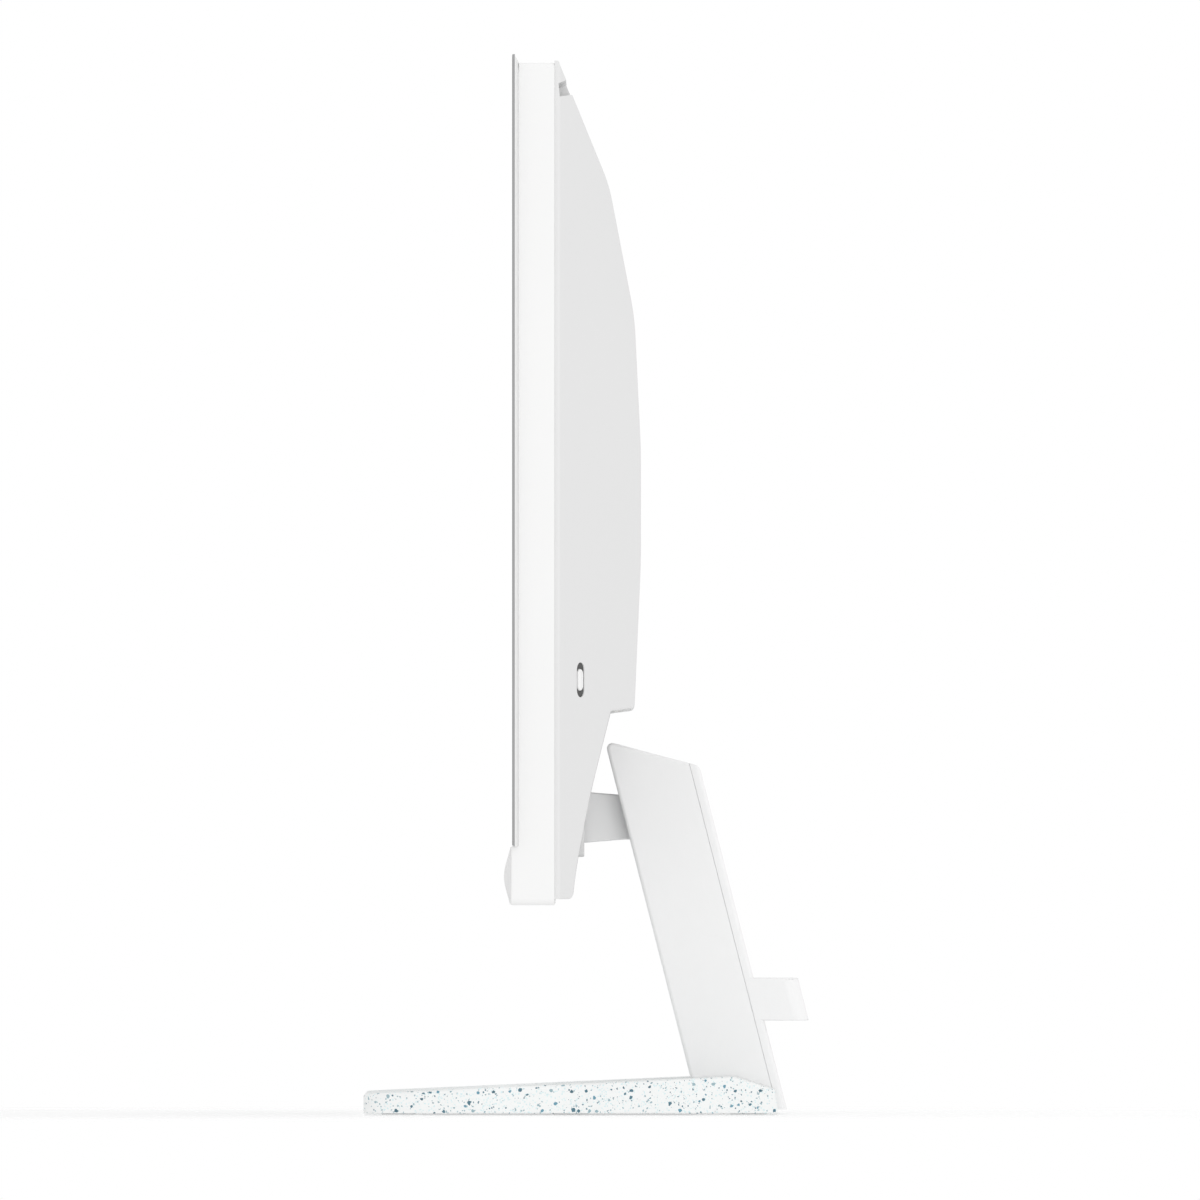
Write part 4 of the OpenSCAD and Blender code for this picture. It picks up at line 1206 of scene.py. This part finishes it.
class BuildColumn(Operator):
    """Leaning column and the strip that closes its back"""

    bl_idname = "computer.column"
    bl_label = "Column"

    def execute(self, context):
        s = context.scene.stand_sizes
        half = COLUMN[1].x
        neck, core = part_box("neck_arm"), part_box("column_core")
        outline = column_outline(s, 0, COLUMN_DEPTH, COLUMN[0].z, 0)
        case = side_outline("column_case", eased(outline, (0, 0, 0, s.column_corner)), half)
        depth = COLUMN_DEPTH - 0.1 * MM

        def outer_edge(a, b):
            rear = all(p.y - column_front(s, p.z) > depth for p in (a, b))
            foot = max(a.z, b.z) < COLUMN[0].z + HAIR
            return abs(a.x - b.x) < 0.1 * MM and not rear and not foot

        round_edges(case, s.column_edge, 4, outer_edge)
        wall = s.column_wall
        inner = column_outline(s, wall, COLUMN_DEPTH + 5 * MM, COLUMN[0].z - 5 * MM, wall)
        cut(
            case,
            side_outline("hollow", inner, half - wall),
            block(
                "neck_way", (neck[0].x - 0.5 * MM, -0.2, PIVOT.z - 9.4 * MM),
                (neck[1].x + 0.5 * MM, 0.024, PIVOT.z + 9.4 * MM),
            ),
            block(
                "foot_way", (wall - half, -0.1, -0.01),
                (half - wall, column_front(s, 0) + 5 * MM, core[0].z + 2.4 * MM),
            ),
        )
        finish(case, STAND, "stand_white", FINISHES["stand_white"], "column_shell")
        self.back_strip(s, half)
        return {"FINISHED"}

    def back_strip(self, s, half):
        """The strip that closes the column's back, with a tongue between the column's walls."""
        foot, gap = COLUMN[0].z, 0.06 * MM
        outline = column_outline(s, COLUMN_DEPTH + gap, COLUMN_DEPTH + s.strip, foot, 0)
        strip = side_outline("column_back", outline, half - gap)
        depth = COLUMN_DEPTH + s.strip - 0.1 * MM

        def rear_edge(a, b):
            rear = all(p.y - column_front(s, p.z) > depth for p in (a, b))
            return rear and (abs(a.x - b.x) < 0.1 * MM or max(a.z, b.z) > foot + 100 * MM)

        round_edges(strip, 1.8 * MM, 5, rear_edge)
        wall = s.column_wall + 0.2 * MM
        inner = column_outline(s, COLUMN_DEPTH - 3 * MM, COLUMN_DEPTH + 1 * MM, foot + 1 * MM, wall)
        combine(strip, [side_outline("tongue", inner, half - wall)], "UNION")
        soften(strip, 0.2 * MM, 2, 60)
        finish(strip, STAND, "stand_white", FINISHES["stand_white"], "column_rear_cover")


class BuildClip(Operator):
    """Cable clip: a leaning band with round back corners"""

    bl_idname = "computer.clip"
    bl_label = "Cable clip"

    def execute(self, context):
        band = copy_of("cable_clip", "cable_band")
        low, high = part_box("cable_clip")

        def rim(a, b):
            return past(2, high.z - HAIR)(a, b) or short_of(2, low.z + HAIR)(a, b)

        round_edges(band, 0.5 * MM, 3, rim)
        finish(band, STAND, "stand_white", FINISHES["stand_white"], "cable_clip", smooth=40)
        return {"FINISHED"}


class BuildBase(Operator):
    """Speckled base slab with rounded front corners and a slot for the column"""

    bl_idname = "computer.base"
    bl_label = "Base"

    def execute(self, context):
        s = context.scene.stand_sizes
        slab = copy_of("base_plate", "base_slab")
        top = BASE[0].z + 7 * MM
        slot_half = COLUMN[1].x + 1 * MM

        def top_edge(a, b):
            above = min(a.z, b.z) > top
            outside = all(
                abs(p.x) > BASE[1].x - s.corner - MM or abs(p.x) > slot_half or p.y < BASE[0].y + s.corner
                for p in (a, b)
            )
            on_ridge = abs(a.x - b.x) > 60 * MM and min(a.y, b.y) > 0.02
            return above and outside and not on_ridge

        with editing(slab) as mesh:
            for edge in mesh.edges:
                a, b = edge.verts[0].co, edge.verts[1].co
                sharp = edge.is_manifold and edge.calc_face_angle() > math.radians(40)
                edge.select_set(sharp and top_edge(a, b))
            bpy.ops.mesh.bevel(offset=s.base_edge, segments=5, affect="EDGES", clamp_overlap=False)
        with editing(slab) as mesh:
            foot = BASE[0].z + HAIR
            for edge in mesh.edges:
                a, b = edge.verts[0].co, edge.verts[1].co
                low = a.z < foot and b.z < foot
                outline = all(
                    abs(p.x) > BASE[1].x - HAIR
                    or p.y < BASE[0].y + s.corner
                    or p.y > BASE[1].y - HAIR
                    for p in (a, b)
                )
                edge.select_set(low and outline and edge.is_manifold and edge.calc_face_angle() > 0.7)
            bpy.ops.mesh.bevel(offset=0.5 * MM, segments=2, affect="EDGES", clamp_overlap=False)
        finish(slab, STAND, "base_terrazzo", FINISHES["base_terrazzo"], "base_plate", smooth=25)
        return {"FINISHED"}


class BuildFeet(Operator):
    """Rubber feet with a chamfer and a ring groove"""

    bl_idname = "computer.feet"
    bl_label = "Feet"

    def execute(self, context):
        low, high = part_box("rubber_feet")
        radius = 7 * MM
        feet = []
        for x in (low.x + radius, high.x - radius):
            for y in (low.y + radius, BASE[0].y + (BASE[1].y - BASE[0].y) / 2, high.y - radius):
                foot = rod("foot", radius, (x, y, low.z), (x, y, high.z))
                round_edges(foot, 0.35 * MM, 3, short_of(2, low.z + HAIR))
                with editing(foot, "FACE") as mesh:
                    pick_faces(mesh, lambda c, n: n.z < -0.999)
                    bpy.ops.mesh.inset(thickness=1.8 * MM, depth=0)
                    bpy.ops.mesh.inset(thickness=0.3 * MM, depth=-0.4 * MM)
                feet.append(foot)
        pads = joined("foot_pads", feet)
        finish(pads, STAND, "foot_rubber", FINISHES["foot_rubber"], "rubber_feet")
        return {"FINISHED"}


class DressNodes(Operator):
    """Finishes for the pieces whose shape comes from the design, with softened edges"""

    bl_idname = "computer.dress"
    bl_label = "Inner parts"

    def execute(self, context):
        slots = {part["node"]: part["material_slot"] for part in frame["record"]["subparts"]}
        for name, node in frame["nodes"].items():
            node.data.materials.clear()
            node.data.materials.append(FINISHES[slots[name]])
            if node.hide_render:
                continue
            weld = node.modifiers.new("Weld", "WELD")
            weld.merge_threshold = 0.002 * MM
            flat = node.modifiers.new("Flat", "DECIMATE")
            flat.decimate_type = "DISSOLVE"
            flat.angle_limit = math.radians(0.5)
            edge = node.modifiers.new("Edge", "BEVEL")
            edge.width = 0.12 * MM
            edge.segments = 2
            edge.limit_method = "ANGLE"
            edge.angle_limit = math.radians(40)
            edge.use_clamp_overlap = True
        return {"FINISHED"}


# ---- Stage ----


class BuildStage(Operator):
    """Pale floor, soft lights and a long lens from the side"""

    bl_idname = "computer.stage"
    bl_label = "Stage"

    def execute(self, context):
        self.floor()
        self.lights(context.scene)
        self.camera(context.scene)
        return {"FINISHED"}

    def floor(self):
        deselect()
        below = -0.4 * MM  # just under the feet
        bpy.ops.mesh.primitive_circle_add(
            radius=1.2, vertices=96, fill_type="TRIFAN", location=(0, 0, below)
        )
        disc = settle(bpy.context.object, "floor")
        f = Finish("floor_paper", (0.93, 0.93, 0.93), 0.9, Specular_IOR_Level=0.1)
        x, y, z = f.axes(f.place())
        away = (x * x + y * y).math("SQRT", x * x + y * y)
        f.set("Alpha", (0.5 - away * 0.6).math("MAXIMUM", 0.5 - away * 0.6, 0.0))
        f.relief(f.noise(f.place(), 500.0), 0.01 * MM)
        disc.data.materials.append(f.material)

    def lights(self, scene):
        world = bpy.data.worlds.new("studio")
        scene.world = world
        world.use_nodes = True
        background = world.node_tree.nodes["Background"]
        background.inputs["Color"].default_value = (1.0, 1.0, 1.0, 1.0)
        background.inputs["Strength"].default_value = 1.0
        lamps = (
            ("side_lamp", (3.2, 1.0, 0.55), 2.2, 21.0),
            ("top_lamp", (0.3, -0.2, 3.0), 2.4, 8.0),
        )
        for name, place, width, power in lamps:
            lamp = bpy.data.lights.new(name, "AREA")
            lamp.size = width
            lamp.energy = power
            obj = bpy.data.objects.new(name, lamp)
            scene.collection.objects.link(obj)
            obj.location = place
            aim = Vector((0, 0, 0.2)) - Vector(place)
            obj.rotation_euler = aim.to_track_quat("-Z", "Y").to_euler()
        scene.view_settings.view_transform = "Standard"

    def camera(self, scene):
        lens, sensor, field = 1500.0, 36.0, 0.4704
        look = Vector((220 * MM, 5.3 * MM, 202.3 * MM))
        data = bpy.data.cameras.new("camera")
        data.lens = lens
        data.sensor_width = sensor
        data.clip_end = 100.0
        camera = bpy.data.objects.new("camera", data)
        scene.collection.objects.link(camera)
        camera.location = (look.x + field * lens / sensor, look.y, 110 * MM)
        camera.rotation_euler = (look - camera.location).to_track_quat("-Z", "Y").to_euler()
        scene.camera = camera


class ComputerPanel(Panel):
    """Lists the computer's sizes, colours and pieces"""

    bl_idname = "VIEW3D_PT_computer"
    bl_label = "All-in-one computer"
    bl_space_type = "VIEW_3D"
    bl_region_type = "UI"
    bl_category = "Computer"

    def draw(self, context):
        column = self.layout.column()
        for group in (context.scene.head_sizes, context.scene.stand_sizes, context.scene.colours):
            for name in group.bl_rna.properties.keys():
                if name not in ("rna_type", "name"):
                    column.prop(group, name)
        for operator in STEPS:
            column.operator(operator.bl_idname)


STEPS = (
    BuildStage, BuildDisplay, BuildFrame, BuildNose, BuildCover, BuildHingeCover, BuildButton,
    BuildCamera, BuildCoverScrews, BuildNeck, BuildColumn, BuildClip, BuildBase, BuildFeet, DressNodes,
)
GROUPS = (HeadSizes, StandSizes, Colours)


def register():
    for cls in (*GROUPS, *STEPS, ComputerPanel):
        bpy.utils.register_class(cls)
    bpy.types.Scene.head_sizes = PointerProperty(type=HeadSizes)
    bpy.types.Scene.stand_sizes = PointerProperty(type=StandSizes)
    bpy.types.Scene.colours = PointerProperty(type=Colours)


def unregister():
    del bpy.types.Scene.head_sizes
    del bpy.types.Scene.stand_sizes
    del bpy.types.Scene.colours
    for cls in reversed((*GROUPS, *STEPS, ComputerPanel)):
        bpy.utils.unregister_class(cls)


def main():
    register()
    FINISHES.update(make_finishes(bpy.context.scene.colours))
    for step in STEPS:
        group, name = step.bl_idname.split(".")
        getattr(getattr(bpy.ops, group), name)()


if __name__ == "__main__":
    main()
